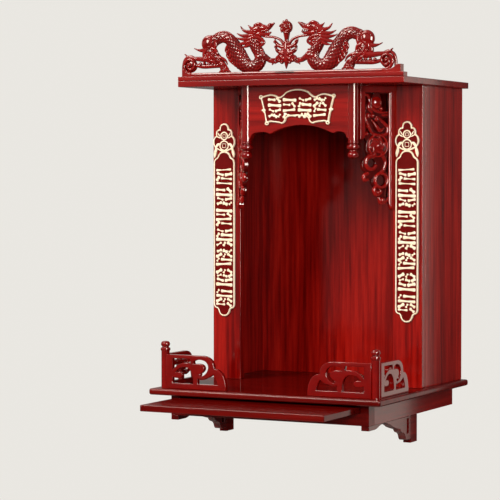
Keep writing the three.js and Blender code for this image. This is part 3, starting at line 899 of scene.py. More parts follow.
@dataclass
class Strokes:
    """Rows of brush-like strokes that stand in an inscription's place and spell nothing.

    Args:
        width: width of one place.
        height: height of one place.
        weight: half width of a stroke.
        count: how many rows a place holds.
        rows: the strokes that a row can hold, each from (x, y) to (x, y) in shares of its cell.
    """

    width: float
    height: float
    weight: float
    count: int = 4
    rows: tuple[tuple[Step, ...], ...] = (
        ((-0.46, -0.1, 0.4, 0.16),),
        ((-0.44, -0.34, -0.2, 0.36), (-0.02, -0.36, 0.06, 0.34), (0.26, 0.36, 0.46, -0.3)),
        ((-0.4, 0.3, -0.08, -0.2), (0.12, -0.14, 0.46, 0.2)),
        ((-0.46, 0.16, 0.02, 0.04), (0.24, 0.4, 0.42, -0.36)),
        ((-0.34, 0.38, -0.44, -0.34), (-0.14, 0.12, 0.46, -0.06)),
        ((-0.4, -0.1, -0.2, 0.24), (-0.02, 0.1, 0.16, -0.24), (0.34, -0.2, 0.46, 0.26)),
        ((-0.44, 0.06, 0.46, -0.14),),
    )

    def draw(self, carving: Carving, x: float, y: float, seed: int, base: float, top: float) -> None:
        """Draws the strokes of one place: rows of dabs, swelling from a blunt start, none of which cross.

        Args:
            carving: what they are drawn on.
            x: middle of the place, to the right.
            y: middle of the place, up.
            seed: number that picks the rows.
            base: height of the strokes' middle.
            top: height of their crown.
        """
        cell = np.array([self.width, self.height * 0.2])
        share = np.array([0, 0.3, 0.7, 1.0])[:, None]
        swell = np.array([1.15, 0.75, 0.75, 1.1])
        for row in range(self.count):
            centre = np.array([x, y + self.height * (0.4 - 0.265 * row)])
            pick = (seed * 3 + row * (seed % 3 + 2)) % len(self.rows)
            for index, stroke in enumerate(self.rows[pick]):
                line = centre + cell * (np.array([stroke[:2]]) * (1 - share) + np.array([stroke[2:]]) * share)
                half = self.weight * (0.85 + 0.2 * ((index + row + seed) % 3)) * swell
                carving.strand(np.column_stack([line, half]), base, top - base, pitch=2.5, sides=10, full=0.6)


@dataclass
class Plaque:
    """What the gilt-edged plaques share: a dull ground, with rims and strokes of pale gold on it."""

    finishes: Finishes
    rim_half: float = 1.75

    def stand(self, name: str, node: str, top: float, ground: Carving, gilt: Carving) -> None:
        """Stands a plaque in its node's place, against what is behind it.

        Args:
            name: start of the two pieces' names.
            node: the node that the gilt work stands for.
            top: height of the drawings' zero, in metres.
            ground: the drawn ground.
            gilt: the drawn gilt work.
        """
        origin = (middle(node)[0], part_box(node)[1].y, top)
        plate = ground.stood(f"{name}_ground", origin)
        dress(plate, self.finishes.ground)
        piece = gilt.stood(f"{name}_gilt", origin)
        dress(piece, self.finishes.gilt, node)


@dataclass
class Couplet(Plaque):
    """A tall plaque: a crown of clouds and coins over a panel with a column of strokes."""

    half: float = 22.0
    places: int = 7
    pitch: float = 40.3
    first: float = -106.0
    strokes: Strokes = field(default_factory=lambda: Strokes(35.0, 33.0, 2.8))

    def panel(self) -> Array:
        """The rim's middle line round the lower panel: an ogee head, straight sides and a lobed foot."""
        w = self.half
        return mirrored_loop([
            (0, -57.2), (8.6, -57.4, 12, -64), (13.4, -69, 16.6, -70.4), (21, -72, w, -78.6), (w, -358),
            (w, -366, 16.5, -367), (12.5, -368, 11.5, -372), (9, -382.5, 0, -382.5),
        ])

    def crown(self) -> Array:
        """The rim's middle line round the crown of clouds."""
        return mirrored_loop([
            (0, -1.8), (6.6, -2.2, 8.2, -8), (8.8, -11, 8.8, -13.6), (15, -12.6, 16.6, -19),
            (17.2, -23, 16.2, -25.8),
            (22.6, -28.6, 23.2, -37), (23.4, -45, 16.8, -49.6), (12, -52, 0, -57.2),
        ])

    def build(self) -> None:
        """Builds both plaques: a stepped ground in a dark border, and the gilt work."""
        for side in SIDES:
            node = f"{side}_couplet_plaque"
            low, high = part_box(node)
            depth = (high.y - low.y) / MM
            ground = Carving()
            for loop, share in ((self.panel(), 0.55), (self.crown(), 0.5)):
                ground.plate([loop], 0, depth * share, 0.5)
                ground.ridge(loop, 2.7, 0, depth * 0.3)
            self.stand(f"{side}_couplet", node, high.z, ground, self.gild(depth))

    def gild(self, depth: float) -> Carving:
        """Draws the rims, coins, scrolls, ribbons and strokes.

        Args:
            depth: how deep the plaque is.

        Returns:
            The gilt work.
        """
        gilt = Carving()
        for loop in (self.panel(), self.crown()[:-1]):
            gilt.ridge(loop, self.rim_half, 0, depth)
        for y, radius, hole in ((-25.4, 7.2, 2.9), (-44.6, 9.2, 3.8)):
            gilt.ring(0, y, radius, 1.45, depth * 0.62, depth * 0.36)
            square = np.array([(-hole, y - hole), (hole, y - hole), (hole, y + hole), (-hole, y + hole)])
            gilt.ridge(square, 1.05, 0, depth * 0.9)
        for side in SIDES.values():
            for line in (
                [(7.4, -29, 1.2), (11, -28.6, 1.4), (15.6, -26, 1.4)],
                [(9.4, -26, 1.2), (11.6, -23, 1.5), (13.8, -19, 1.1)],
                [(9.6, -41, 1.6), (13.4, -42, 2.9), (16.6, -45.6, 3.0), (18.8, -50, 2.0)],
                [(18, -49.6, 1.8), (19.6, -56, 3.1), (21, -62, 2.9), (21.6, -67.6, 1.0)],
                [(2, -56, 1.5), (6, -53.6, 1.2)],
            ):
                gilt.strand(np.array(line) * [side, 1, 1], depth * 0.5, depth * 0.45, sides=12)
        for place in range(self.places):
            self.strokes.draw(gilt, 0, self.first - self.pitch * place, place, depth * 0.4, depth * 0.97)
        return gilt


@dataclass
class Lintel(Plaque):
    """The arched board between the columns, with its gilt plaque."""

    strokes: Strokes = field(default_factory=lambda: Strokes(26.0, 38.0, 2.6))
    places: tuple[float, ...] = (-48.0, -16.0, 16.0, 48.0)
    level: float = -42.0

    def rim(self) -> Array:
        """The middle line of the plaque's rim: it rises to the middle in two waves each side."""
        return mirrored_loop([
            (0, -7.8), (14, -8, 24, -13.5), (34, -24.5, 41, -22.2), (52, -15, 62, -18), (72, -20, 76.5, -22),
            (73, -34, 70, -46), (67, -58, 65, -70), (58, -66, 52, -68), (42, -68, 33, -71),
            (27.5, -70, 26, -65),
            (24, -57.5, 14, -57), (0, -56.2),
        ])

    def build(self) -> None:
        """Builds the board and the plaque, with knobs at its corners and a bud on each side."""
        EasedNode("lintel_board", self.finishes.across).build()
        node = "lintel_plaque"
        low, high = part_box(node)
        depth = (high.y - low.y) / MM
        ground, gilt = Carving(), Carving()
        ground.plate([self.rim()], 0, depth * 0.5, 0.5)
        gilt.ridge(self.rim(), self.rim_half, 0, depth * 0.9)
        for side in SIDES.values():
            for x, y in ((77, -21), (64.5, -71)):
                gilt.ring(x * side, y, 3.0, 1.1, depth * 0.6, depth * 0.35)
            sprig = [(72.5 * side, -31, 1.0), (69.4 * side, -46, 1.0), (66 * side, -61, 1.0)]
            gilt.strand(sprig, depth * 0.5, 2)
            gilt.bead(71 * side, -46, 4.2, depth * 0.5, depth * 0.45, wave=0.2, lobes=4)
        for index, x in enumerate(self.places):
            self.strokes.draw(gilt, x, self.level, index + 1, depth * 0.4, depth * 0.97)
        self.stand("lintel", node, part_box("lintel_board")[1].z, ground, gilt)


@dataclass
class Wing:
    """The pierced carving from each hanging column back to the pilaster.

    It is drawn with x from the column's axis towards the pilaster and y down from the top board as negative.
    """

    finishes: Finishes
    thick: float = 14.0
    ground: float = 8.0
    high: float = 8.5
    low: float = 7.5
    flower: Pair = (52.0, -115.0)
    work: Carving = field(default_factory=Carving)

    def edge(self) -> Array:
        """The outline of the pierced ground."""
        return outline([
            (11, -1), (87, -1), (87, -236), (84, -236), (77, -222), (58, -234, 56, -213),
            (40, -208, 46, -194),
            (38, -188, 40, -177), (22, -188, 21, -175), (28, -167), (16, -158, 19, -146),
            (22, -137, 32, -136),
            (24, -118, 29, -108), (24, -100), (11, -100),
        ])

    def openings(self) -> list[Array]:
        """The openings cut through the ground."""
        return [circle(39, -148, 8.5), circle(60, -181, 10.5), *(outline(steps) for steps in (
            [(24, -16), (44, -16), (36, -26, 38, -38), (28, -36), (26, -50)],
            [(60, -16.4), (75, -16.2), (76, -49), (62, -50), (64, -28, 56, -17)],
            [(24, -64), (30, -72), (37, -92), (24, -90)],
            [(38, -64), (47, -66), (60, -83), (55, -90), (44, -84)],
            [(63, -62), (75.4, -63), (76.3, -78), (66, -71)],
            [(77, -132), (75.7, -168), (70, -160), (72, -142)],
            [(76.2, -192), (75.3, -216), (67, -210), (70, -198)],
        ))]

    def draw_frame(self) -> None:
        """Draws the top rail, the stile at the column, and the stile at the pilaster with its bead."""
        for steps, front in (
            ([(11, -0.5), (87, -0.5), (87, -14), (11, -14)], self.thick),
            ([(11, -0.5), (22, -0.5), (22, -96), (20, -104, 12, -103), (11, -103)], self.thick),
            ([(79, -0.5), (87, -0.5), (87, -237), (84, -237), (79, -229)], self.thick - 1),
        ):
            self.work.plate([outline(steps)], 0, front, 1.0)
        bead = [(78, -15, 3), (78, -120, 3), (78, -218, 3), (80.6, -232, 2.6)]
        self.work.strand(bead, self.thick - 2, 2.0, full=1.0)

    def draw_scrolls(self) -> None:
        """Draws the fruit, berries and leaves over the flower, and the scrolls under it."""
        work, high, low = self.work, self.high, self.low
        work.bead(50, -33, 11.5, high, 6.4)
        work.bead(60, -45, 4, high, 4)
        work.bead(54, -204, 4, high, 4.6)
        work.beads([
            (31, -58, 5), (41, -58, 4.6), (50, -65, 4.4), (30, -79, 3.2), (28, -92, 4), (63, -219, 5.6),
        ], high, 5)
        work.strand([(58, -56, 1), (66, -57, 2.4), (76, -56, 2)], low, 4)
        work.strands([
            [(22, -18, 2), (31, -20, 3), (35, -31, 3), (33, -43, 4), (40, -52, 3)],
            [(36, -38, 2), (42, -45, 3), (52, -50, 3), (64, -52, 2.4), (76, -51, 2)],
            [(62, -132, 4), (70, -146, 4), (66, -160, 3.6), (56, -168, 3)],
            [(56, -214, 3), (60, -224, 3.4), (70, -222, 3), (78, -214, 2.6)],
        ], low, 5)
        work.strands([
            [(26, -62, 2.4), (34, -80, 3), (42, -92, 3.2), (60, -96, 3.6), (73, -91, 4), (74, -79, 4),
             (62, -68, 3.2), (50, -60, 2.4)],
            [(40, -66, 1.6), (50, -78, 3.6), (58, -86, 4), (66, -82, 2)],
        ], low, 5.6)
        work.strands([
            [(31, -168, 3), (23, -172, 4), (24, -180, 4), (31, -180, 3)],
            [(49, -192, 3), (45, -199, 4), (50, -208, 4), (60, -204, 3), (58, -198, 2)],
        ], high, 5)
        work.strand(spiral(39, -148, (13.5, 11), (70, 330), (4.6, 3.6), 12), high, 5.4)
        work.ring(60, -181, 13.4, 3.4, high, 5.4)

    def draw_flower(self) -> None:
        """Draws the round flower: a rim, petals that curl round, and a bud."""
        x, y = self.flower
        self.work.ring(x, y, 20.6, 2.2, self.high, 5.4)
        self.work.bead(x, y, 19.5, self.high - 2.5, 4.6)
        self.work.bead(x, y, 5, self.high, 5.6)
        for turn in range(0, 360, 60):
            petal = spiral(x, y, (5, 17), (turn, turn + 75), (1.6, 2.4), 6)
            self.work.strand(petal, self.high, 4.8, pitch=1.2)

    def build(self) -> None:
        """Builds both wings along the line from the column to the pilaster's inner edge."""
        ground = Carving()
        ground.plate([self.edge(), *self.openings()], 0, self.ground, 0.8)
        self.draw_frame()
        self.draw_scrolls()
        self.draw_flower()
        for side, sign in SIDES.items():
            x, y = middle(f"{side}_drop_column")
            low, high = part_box(f"{side}_pilaster")
            turn = math.atan2(low.y - y, (low.x if sign > 0 else high.x) - x)
            back, work = ground, self.work
            if sign < 0:
                back, work, turn = ground.mirrored(), self.work.mirrored(), turn - math.pi
            inset = self.thick / 2 * MM
            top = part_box(f"{side}_drop_column")[1].z
            origin = (x - math.sin(turn) * inset, y + math.cos(turn) * inset, top)
            # The ground plate behind the scrolls takes the darker finish: painted shade.
            dress(back.stood(f"{side}_wing_ground", origin, turn), self.finishes.shaded_ground)
            piece = work.stood(f"{side}_wing_carving", origin, turn)
            dress(piece, self.finishes.wing, f"{side}_wing_bracket")


@dataclass
class Railing:
    """The pierced panels on the slab's front corners, drawn with x out from the post and y above the slab."""

    finishes: Finishes
    length: float = 134.0
    height: float = 64.5
    near: float = 5.5
    border: float = 7.0

    def loops(self) -> list[Array]:
        """The outline and the openings, which leave an arch on a stem and a scroll."""
        near, end, high, top = self.near, self.length, self.height, self.height - self.border
        return [outline(steps) for steps in (
            [(near, 0), (end, 0), (end, 6), (end - 1, 22, end - 8, 32), (end - 14, 40, 109, 41),
             (108.5, 62, 85, high), (near, high)],
            [(20, top), (57.5, top), (58.5, 49.5), (36, 54, 20, 36)],
            [(65, 53), (72, 57.4, 81, 56.6), (95, 55, 96.5, 43.5), (95, 29, 80, 24.6), (76.5, 28.5),
             (85, 32, 88, 38), (89.5, 46.5, 80, 48.6), (74, 49.6, 65.6, 48.4)],
            [(20, 10.6), (64, 10.6), (65, 20, 61, 31), (56, 41.5, 46, 41.5), (33, 41.4, 26.5, 31),
             (35, 33.5, 40, 29), (42.5, 23, 36, 20.6), (28, 19, 20, 22)],
            [(74, 10.6), (116, 10.6), (115, 21, 108, 30), (100, 23, 89, 21.6), (81, 20.6, 74, 21)],
        )]

    def draw(self) -> Carving:
        """Draws one panel, its outer face level with the front of the post and its scrolls on both faces."""
        work = Carving()
        work.plate(self.loops(), -1.6, 7.6, 1.1)
        for lift in (1.4, 4.6):
            for line, deep in (
                ([(69, 9, 2.6), (69, 20, 2.8), (65, 33, 2.8), (57, 44.5, 2.8), (45, 46.6, 2.6), (32, 43, 2.4),
                  (22.5, 33, 2)], 3.6),
                (spiral(80.6, 40.6, (20.4, 19.6), (118, -128), (2.0, 2.8), 15), 3.6),
                ([(68, 43, 2.4), (75, 44.6, 2.6), (82, 43, 3.0)], 3.6),
                ([(103, 37, 2), (113, 37, 2.8), (121, 29, 2.8), (124, 17, 2.6), (125, 6, 2.4)], 3.4),
            ):
                work.strand(line, lift, deep, full=0.8)
            work.beads([(34.5, 26, 4.4), (77.6, 28, 2.8)], lift, 3.8)
            work.bead(119, 12, 2.4, lift, 3.6)
            work.bead(82.6, 42.6, 3.6, lift, 4)
        return work

    def build(self) -> None:
        """Builds the front and side panel of each corner."""
        drawn = self.draw()
        mirror = drawn.mirrored()
        for side, sign in SIDES.items():
            post = (*middle(f"{side}_railing_post"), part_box(f"{side}_railing_post")[0].z)
            front, inward = (mirror, drawn) if sign > 0 else (drawn, mirror)
            for place, work, turn in (("front", front, 0.0), ("side", inward, math.pi / 2 * sign)):
                node = f"{side}_{place}_railing"
                dress(work.stood(f"{node}_carving", post, turn), self.finishes.rail, node)


@dataclass
class Dragon:
    """The crest's left half: the dragon, the volute behind it, and its side of the flames."""

    work: Carving = field(default_factory=Carving)
    bead_height: float = 11.4

    def volute(self) -> None:
        """Draws the volute, the bead that runs from it along the rail, and the horn outside it."""
        work, y = self.work, self.bead_height
        curl = spiral(-206.5, 29.5, (14.6, 4.6), (246, -230), (3.0, 2.4), 18)
        bead = [(20, y, 2), (-60, y, 2), (-150, y, 2), (-190, y, 2), (-203, y + 1.6, 2.5), *curl]
        work.strand(bead, 13.4, 5.6, pitch=2.2)
        face = [(20, y, 3.4), (-60, y, 3.4), (-190, y, 3.4), (-202, y + 1.2, 3.2)]
        work.strand(face, 16.4, 1.5, full=1.0)
        work.bead(-206.5, 29.5, 13.4, 7, 5)
        work.bead(-206.5, 30.5, 4.2, 13, 5.6)
        horn = [(-196, 42, 2.4), (-208, 47, 3), (-219, 42, 3.4), (-223.4, 31, 3.2), (-224, 20, 3)]
        work.strand(horn, 7.5, 5.4)

    def trunk(self) -> None:
        """Draws the trunk, which arches, coils and rises to the head, and its haunch."""
        work = self.work
        line = [
            (-160, 70, 10), (-153, 77, 11), (-144, 81, 10.6), (-133, 82.4, 10.8), (-121, 77, 11.4),
            (-112, 65, 14),
            (-104, 50, 16.4), (-94, 34, 16.4), (-79, 24.4, 12.6), (-63, 27, 12.4), (-55.4, 38, 12),
            (-58, 49, 11),
            (-66, 62, 10.6), (-71, 76, 11), (-66, 88, 10),
        ]
        work.strand(line, 9.2, 7.6, Surface.SCALED, pitch=0.9, sides=56)
        work.bead(-166, 71, 16.4, 9.6, 9.0)
        work.strand(spiral(-165, 71, (12.6, 4), (150, -120), (1.9, 1.5), 11), 16.2, 2.6)
        work.strand([(-152, 60, 3), (-149, 70, 3), (-152, 80, 2.4), (-159, 86, 1.4)], 14.4, 3.4)

    def back_and_belly(self) -> None:
        """Draws the two ridges along the back, and the bands across the belly."""
        spine = np.array([
            (-158, 83), (-147, 90.4), (-133, 93), (-119, 88.6), (-107, 76), (-97, 62), (-88, 47),
        ])
        for inset, half, lift in ((0.0, 1.7, 12.0), (4.6, 1.3, 15.6)):
            ridge = spine - [inset * 0.6, inset]
            self.work.strand(np.column_stack([ridge, np.full(len(ridge), half)]), lift, 3)
        belly = smooth([(-47.5, 54), (-45, 42), (-48, 29), (-58, 20), (-72, 17.4), (-84, 20)], 4.2)
        for (x, y), (dx, dy) in zip(belly, tangents(belly)):
            end_x, end_y = x - 9 * abs(dy) - 2, y + 9 * abs(dx) + 1
            band = [(x, y, 1.7), ((x + end_x) / 2, (y + end_y) / 2, 1.9), (end_x, end_y, 1.2)]
            self.work.strand(band, 13.6, 3.8, sides=8)

    def mane(self) -> None:
        """Draws the flutes that hang from the trunk's outer side, and the flames behind the head."""
        self.work.strands([
            [(-116, 71, 3.4), (-125, 64, 3.4), (-129, 57, 2.2), (-127, 51, 0.8)],
            [(-113, 64, 3.6), (-122, 56, 3.6), (-126, 47, 2.4), (-123, 40, 0.8)],
            [(-109, 56, 3.6), (-118, 48, 3.8), (-121, 39, 2.6), (-118, 33, 0.8)],
            [(-105, 48, 3.6), (-113, 41, 3.8), (-116, 34, 2.6), (-111, 28, 0.8)],
            [(-100, 40, 3.4), (-108, 33, 3.4), (-108, 27, 2.4), (-100, 24, 0.8)],
        ], 11.4, 5.4, Surface.FLUTED)
        self.work.strands([
            [(-68, 91, 5), (-80, 91, 3.8), (-90, 94, 2.4), (-96.4, 101.4, 0.8)],
            [(-66, 97, 4), (-74, 98, 2.8), (-80, 103, 0.8)],
            [(-70, 84, 5.4), (-84, 83.4, 4), (-95, 84.4, 2.6), (-104, 88.4, 0.8)],
            [(-72, 79, 5), (-86, 77, 4), (-98, 78, 2.4), (-107, 81, 0.8)],
            [(-72, 74, 4.6), (-86, 70, 4), (-97, 68, 2.4), (-103, 64, 0.8)],
            [(-72, 69, 3.6), (-84, 63.6, 3), (-93, 62, 0.8)],
        ], 12.2, 4.8, Surface.FLUTED)

    def legs(self) -> None:
        """Draws the hind leg with its curls of hair, the foreleg, and their claws."""
        work = self.work
        hind = [
            (-167, 60, 9), (-160, 52, 10), (-151, 45, 9), (-143, 37, 7.6), (-137, 29, 7), (-133, 20, 7),
            (-131, 13, 7.4),
        ]
        work.strand(hind, 10, 7, Surface.SCALED, pitch=1, sides=40)
        work.strands([
            [(-158, 62, 3.4), (-150, 58, 3.4), (-147, 50, 2.6), (-149, 45, 1)],
            [(-166, 56, 3), (-160, 47, 3.4), (-151, 41, 3), (-146, 34, 1)],
            [(-168, 50, 3), (-163, 40, 3), (-153, 35, 2.6), (-148, 28, 1)],
            [(-146, 44, 3.4), (-136, 42, 3), (-128, 37, 2.2), (-124, 30, 0.9)],
            [(-140, 34, 3), (-130, 30, 2.6), (-124, 24, 0.9)],
        ], 14, 4.4)
        work.beads([(-131, 22, 3.6), (-141, 40, 3.2), (-155, 52, 3.6), (-164, 64, 3.4)], 15.4, 3.6)
        for x, y in ((-118, 16), (-122, 21), (-142, 14.6)):
            work.strand([(-132, 18, 4), ((x - 132) / 2, y + 3, 3), (x, y, 1.4)], 14, 4, sides=10)
        fore = [(-58, 42, 8.6), (-48, 43, 7), (-40, 39, 5.4), (-33, 35, 4.6)]
        work.strand(fore, 11, 6.4, Surface.SCALED, pitch=1, sides=32)
        work.bead(-46, 45, 4.4, 14.4, 4.4)
        for x, y in ((-20, 38), (-22, 31), (-29, 27)):
            work.strand([(-35, 35, 4), (-27.4, (y + 36) / 2, 2.8), (x, y, 1)], 12, 3.8, sides=10)

    def tail(self) -> None:
        """Draws the tail: fluted bands behind the leg, two flicked tips, and the cloud bar under them."""
        self.work.strands([
            [(-160, 44, 6), (-176, 41, 5.6), (-190, 42, 4.6), (-203, 43, 3.8), (-212, 46, 2.4),
             (-219, 51.6, 0.8)],
            [(-168, 66, 5), (-171, 60, 5), (-181, 58, 3.8), (-190, 59.4, 2), (-198, 62.4, 0.8)],
            [(-172, 60, 4.6), (-176, 50, 4.4), (-171, 40, 4), (-162, 36, 3)],
            [(-165, 58, 3.4), (-168, 47, 3.6), (-163, 38, 3)],
        ], 10.6, 6, Surface.FLUTED)
        self.work.strand([(-141, 29, 5), (-160, 28, 4.8), (-180, 27.4, 4.4), (-196, 30, 3.4)], 8.6, 5.6)
        self.work.beads([(-184, 32, 3.4), (-175, 33, 3), (-165, 33, 3.4), (-157, 32, 3)], 12.6, 4.4)

    def head(self) -> None:
        """Draws the head from the side: skull, brow, nose, toothed jaws, beard, collar and whisker."""
        work = self.work
        skull = [
            (-72, 88, 9), (-62, 95, 9.4), (-51, 96.6, 8), (-41, 97, 6), (-33, 101.6, 4.2), (-26, 105.6, 1.6),
        ]
        work.strand(skull, 10.4, 7)
        work.strand([(-60, 86, 6.6), (-48, 85.6, 4.4), (-39, 85.4, 3.2), (-33, 88.6, 1.6)], 10.4, 5.6)
        work.strand([(-66, 102.4, 3), (-57, 105.4, 3.2), (-49, 102, 2.4), (-43, 99, 1.4)], 13, 4.4)
        work.strand([(-62, 91, 2), (-52, 91.6, 1.8), (-43, 92, 1.6), (-36, 95, 1)], 14.6, 3)
        for x, y, radius, lift, deep in (
            (-33.4, 102.6, 3.6, 13, 4.4), (-55, 98.6, 3.2, 16, 3), (-66, 93, 4.6, 14.4, 4.4),
            (-58, 66, 4, 14, 4.4),
        ):
            work.bead(x, y, radius, lift, deep)
        work.ring(-55, 98.6, 4.4, 1.2, 14.6, 3)
        for x in range(-52, -35, 4):
            work.strand([(x, 91, 1.2), (x + 0.6, 89.2, 0.9), (x + 1, 87.6, 0.4)], 14.4, 1.8, sides=8)
        work.strands([
            [(-70, 80, 4.6), (-62, 80, 3.8), (-53, 77, 3.2), (-46, 70, 2.8), (-52, 64, 2.6), (-59, 60, 1.6)],
            [(-66, 74, 3), (-59, 74, 2.6), (-53, 70, 2.2), (-56, 66, 1.6)],
            [(-64, 82, 2.4), (-57, 80.4, 2), (-49, 77.6, 1.2)],
        ], 12.8, 5)
        work.strand([(-52, 83, 2.4), (-42, 81, 2.4), (-27, 79.4, 2.4), (-13, 74, 2.6), (-5, 65, 3.2)], 10, 4)

    def flame(self) -> None:
        """Draws the flames and clouds on this side of the pearl's stem."""
        self.work.strands([
            [(-3, 60, 3.6), (-10, 60.6, 3.8), (-17, 64, 3.6), (-23, 71, 2.6), (-24, 76, 0.8)],
            [(-4, 50, 3.8), (-12, 50, 4), (-19, 54, 3.4), (-23, 61, 1)],
            [(-3, 70, 2), (-8, 60, 2.6), (-7.4, 50, 2.8), (-12, 40, 3), (-19, 33, 2.6), (-24, 29, 0.9)],
            [(-4, 41, 4), (-12, 42, 4), (-19, 40, 3.4), (-22, 34, 1.2)],
        ], 11, 5.4)
        self.work.beads([
            (-22.4, 70, 3.2), (-21, 60.6, 3), (-17, 53, 3), (-6, 39, 5), (-14, 35, 4.4), (-20, 37, 3.2),
            (-5, 47, 4),
            (-8, 31, 3.4), (-13.6, 44.6, 3),
        ], 13, 5)

    def draw(self) -> Carving:
        """Draws the whole half and returns it."""
        for part in (
            self.volute, self.trunk, self.back_and_belly, self.mane, self.legs, self.tail, self.head,
            self.flame,
        ):
            part()
        return self.work


@dataclass
class Crest:
    """The pierced crest: two dragons that chase a flaming pearl, on a stepped rail with a volute at each end.

    The dragons and the pearl stand a little left of the rail's middle.
    """

    finishes: Finishes
    shift: float = -7.5
    step: float = 7.0
    plinth_top: float = 8.0
    block_top: float = 22.5

    def rail(self, half: float) -> Carving:
        """Draws the stepped rail and its end blocks.

        Args:
            half: half of the plinth's length.

        Returns:
            The rail.
        """
        rail, inner, top, block = Carving(), half - self.step, self.plinth_top, self.block_top
        rail.plate([outline([(-half, 0), (half, 0), (half, top), (-half, top)])], 0.2, 19.8, 0.8)
        rail.plate([outline([
            (-inner, 7), (-inner, block), (-226, block), (-222, 14, -208, 13), (200, 13),
            (216, 14, 222, block),
            (inner, block), (inner, 7),
        ])], 1, 16.5, 0.8)
        return rail

    def pearl(self) -> Carving:
        """Draws the pearl with its swirls and knob, and its stem with the spike under it."""
        work, y = Carving(), 97.4
        work.bead(0, y, 12.6, 9.6, 8.4)
        work.bead(0, y, 4, 16.4, 2.6)
        work.bead(0, 110, 2.8, 10, 3)
        for turn in range(0, 360, 60):
            swirl = spiral(0, y, (3.4, 11.4), (turn, turn + 110), (1.3, 1.9), 7)
            work.strand(swirl, 15.4, 3, pitch=1.2, sides=10)
        stem = [(0, 88, 6.2), (0, 80, 4.8), (0, 71, 3.6), (0, 63, 5), (0, 54, 7), (0, 45, 8.4), (0, 36, 8)]
        work.strand(stem, 9, 6.4, Surface.FLUTED)
        work.strand([(0, 32, 4.4), (-0.3, 25, 2.8), (-0.6, 19.4, 0.8)], 9.4, 5)
        return work

    def build(self) -> None:
        """Builds the rail, and both dragons and the pearl as one carving on it."""
        node = "dragon_crest"
        low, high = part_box(node)
        origin = (middle(node)[0], high.y, low.z)
        rail = self.rail((high.x - low.x) / 2 / MM)
        dress(rail.stood("crest_rail", origin), self.finishes.cap)
        half, whole = Dragon().draw(), Carving()
        for part in (self.pearl(), half, half.mirrored()):
            whole.join(part, self.shift)
        dress(whole.stood("dragon_crest_carving", origin), self.finishes.carved, node)


# --- studio ---


class Shows(Enum):
    """What a lamp adds, as plain light and as reflections."""

    LIGHT = (True, False)
    GLOSS = (False, True)
    BOTH = (True, True)


@dataclass(frozen=True)
class Lamp:
    """A soft lamp that faces a point of the cabinet.

    Args:
        name: what it is for.
        place: where it stands.
        aim: the point it faces.
        wide: its width.
        high: its height.
        power: its power in watts.
        shows: what it adds.
        colour: its colour.
    """

    name: str
    place: Triple
    aim: Triple
    wide: float
    high: float
    power: float
    shows: Shows = Shows.BOTH
    colour: Triple = (1.0, 0.9, 0.8)

    def build(self) -> None:
        """Makes the lamp, which the camera doesn't see."""
        data = bpy.data.lights.new(self.name, "AREA")
        data.shape, data.size, data.size_y = "RECTANGLE", self.wide, self.high
        data.energy, data.color = self.power, self.colour
        lamp = place_object(self.name, data)
        lamp.location = self.place
        lamp.rotation_euler = (Vector(self.aim) - Vector(self.place)).to_track_quat("-Z", "Y").to_euler()
        lamp.visible_camera = False
        lamp.visible_diffuse, lamp.visible_glossy = self.shows.value


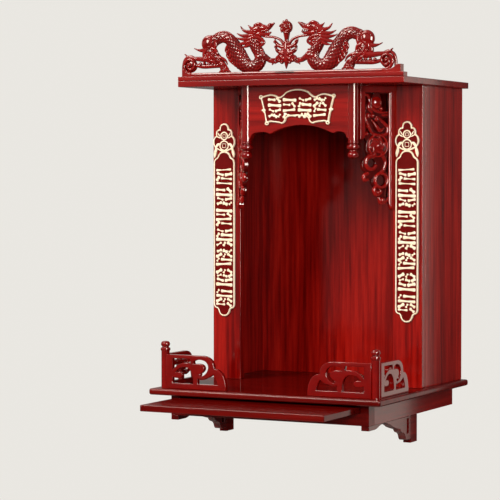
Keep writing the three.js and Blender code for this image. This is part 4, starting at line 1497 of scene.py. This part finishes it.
@dataclass
class Studio:
    """A pale floor, soft lamps, the surround and the camera.

    Args:
        eye: where the camera stands.
        yaw: how far it is turned to the left, in degrees.
        pitch: how far it looks down, in degrees.
        lens: its focal length on a sensor 36 mm wide.
        pale: the surround's colour.
        dim: strength of the surround below.
        rise: how much stronger it is above.
        shade: share that it loses behind to the right.
        floor_size: half of the floor's width.
        floor_level: height of the floor.
        lamps: the lamps.
    """

    eye: Triple = (1.7196, -3.8534, 0.108)
    yaw: float = 27.05
    pitch: float = 2.1
    lens: float = 148.92
    pale: Triple = (0.82, 0.8, 0.757)
    dim: float = 0.133
    rise: float = 0.52
    shade: float = 0.72
    floor_size: float = 7.0
    floor_level: float = -2.6
    lamps: tuple[Lamp, ...] = (
        Lamp("key", (-1.3, -2.54, 1.45), (0.0, -0.2, 0.0), 0.9, 0.9, 70.0),
        Lamp("fill", (1.5, -2.75, 0.5), (-0.1, 0.0, 0.0), 0.8, 0.8, 40.0, Shows.LIGHT),
        Lamp("overhead", (-1.2, -0.25, 2.3), (0.0, -0.25, 0.2), 1.1, 1.1, 32.0, Shows.GLOSS),
        Lamp("window", (2.05, -2.16, 0.5), (0.0, -0.25, 0.1), 1.1, 1.5, 200.0, Shows.GLOSS),
        Lamp("card", (0.75, 0.32, 0.0), (0.68, -1.0, 0.0), 0.62, 1.3, 3.4),
    )

    def camera(self) -> None:
        """Makes the camera at its viewing angle."""
        data = bpy.data.cameras.new("camera")
        data.lens, data.sensor_width, data.clip_end = self.lens, 36.0, 50.0
        camera = place_object("camera", data)
        yaw, pitch = math.radians(self.yaw), math.radians(self.pitch)
        look = Vector((-math.sin(yaw) * math.cos(pitch), math.cos(yaw) * math.cos(pitch), -math.sin(pitch)))
        camera.location = self.eye
        camera.rotation_euler = look.to_track_quat("-Z", "Y").to_euler()
        bpy.context.scene.camera = camera

    def floor(self) -> None:
        """Makes the pale floor, well under the cabinet, which fades out into the surround."""
        mesh = bpy.data.meshes.new("floor")
        size, level = self.floor_size, self.floor_level
        corners = [(-size, -size, level), (size, -size, level), (size, size, level), (-size, size, level)]
        mesh.from_pydata(corners, [], [(0, 1, 2, 3)])
        floor = place_object("floor", mesh)
        kit = ShaderKit.paint("floor_paint")
        place = kit.node("ShaderNodeTexCoord", {}, {}, output="Object")
        flat = kit.node("ShaderNodeVectorMath", {"operation": "MULTIPLY"}, [place, (1.0, 1.0, 0.0)])
        away = kit.node("ShaderNodeVectorMath", {"operation": "LENGTH"}, [flat], output="Value")
        paint = kit.finish(Base_Color=(0.72, 0.7, 0.66, 1.0), Roughness=0.8, Alpha=1 - away.between(1.5, 4.5))
        mesh.materials.append(paint)

    def world(self) -> None:
        """Sets the surround.

        The camera sees it even and pale. For light and reflections it is pale above, and dim below and behind
        to the right, as a room is.
        """
        kit = ShaderKit(bpy.data.worlds.new("surround"), "Background")
        toward = kit.node("ShaderNodeTexCoord", {}, {}, output="Generated")
        height = kit.node("ShaderNodeSeparateXYZ", {}, [toward], output="Z")
        values = [toward, (0.8, 0.6, 0.0)]
        right = kit.node("ShaderNodeVectorMath", {"operation": "DOT_PRODUCT"}, values, output="Value")
        above, behind = height.between(-0.12, 0.08), right.between(0.1, 0.8)
        room = (above * self.rise + self.dim) * (1 - behind * self.shade)
        seen = kit.node("ShaderNodeLightPath", {}, {}, output="Is Camera Ray")
        kit.finish(Color=(*self.pale, 1.0), Strength=seen + (1 - seen) * room)
        bpy.context.scene.world = kit.owner

    def build(self) -> None:
        """Builds the camera, lamps, floor and surround."""
        self.camera()
        self.world()
        self.floor()
        for lamp in self.lamps:
            lamp.build()
        bpy.context.scene.view_settings.view_transform = "Standard"


def main() -> None:
    """Builds the studio and every piece of the cabinet."""
    logging.basicConfig(level=logging.INFO, format="%(name)s %(message)s")
    Studio().build()
    finishes = Finishes()
    for assembly in (CaseWork, TurnedWork, Lintel, Couplet, Wing, Railing, Crest):
        assembly(finishes).build()


if __name__ == "__main__":
    main()
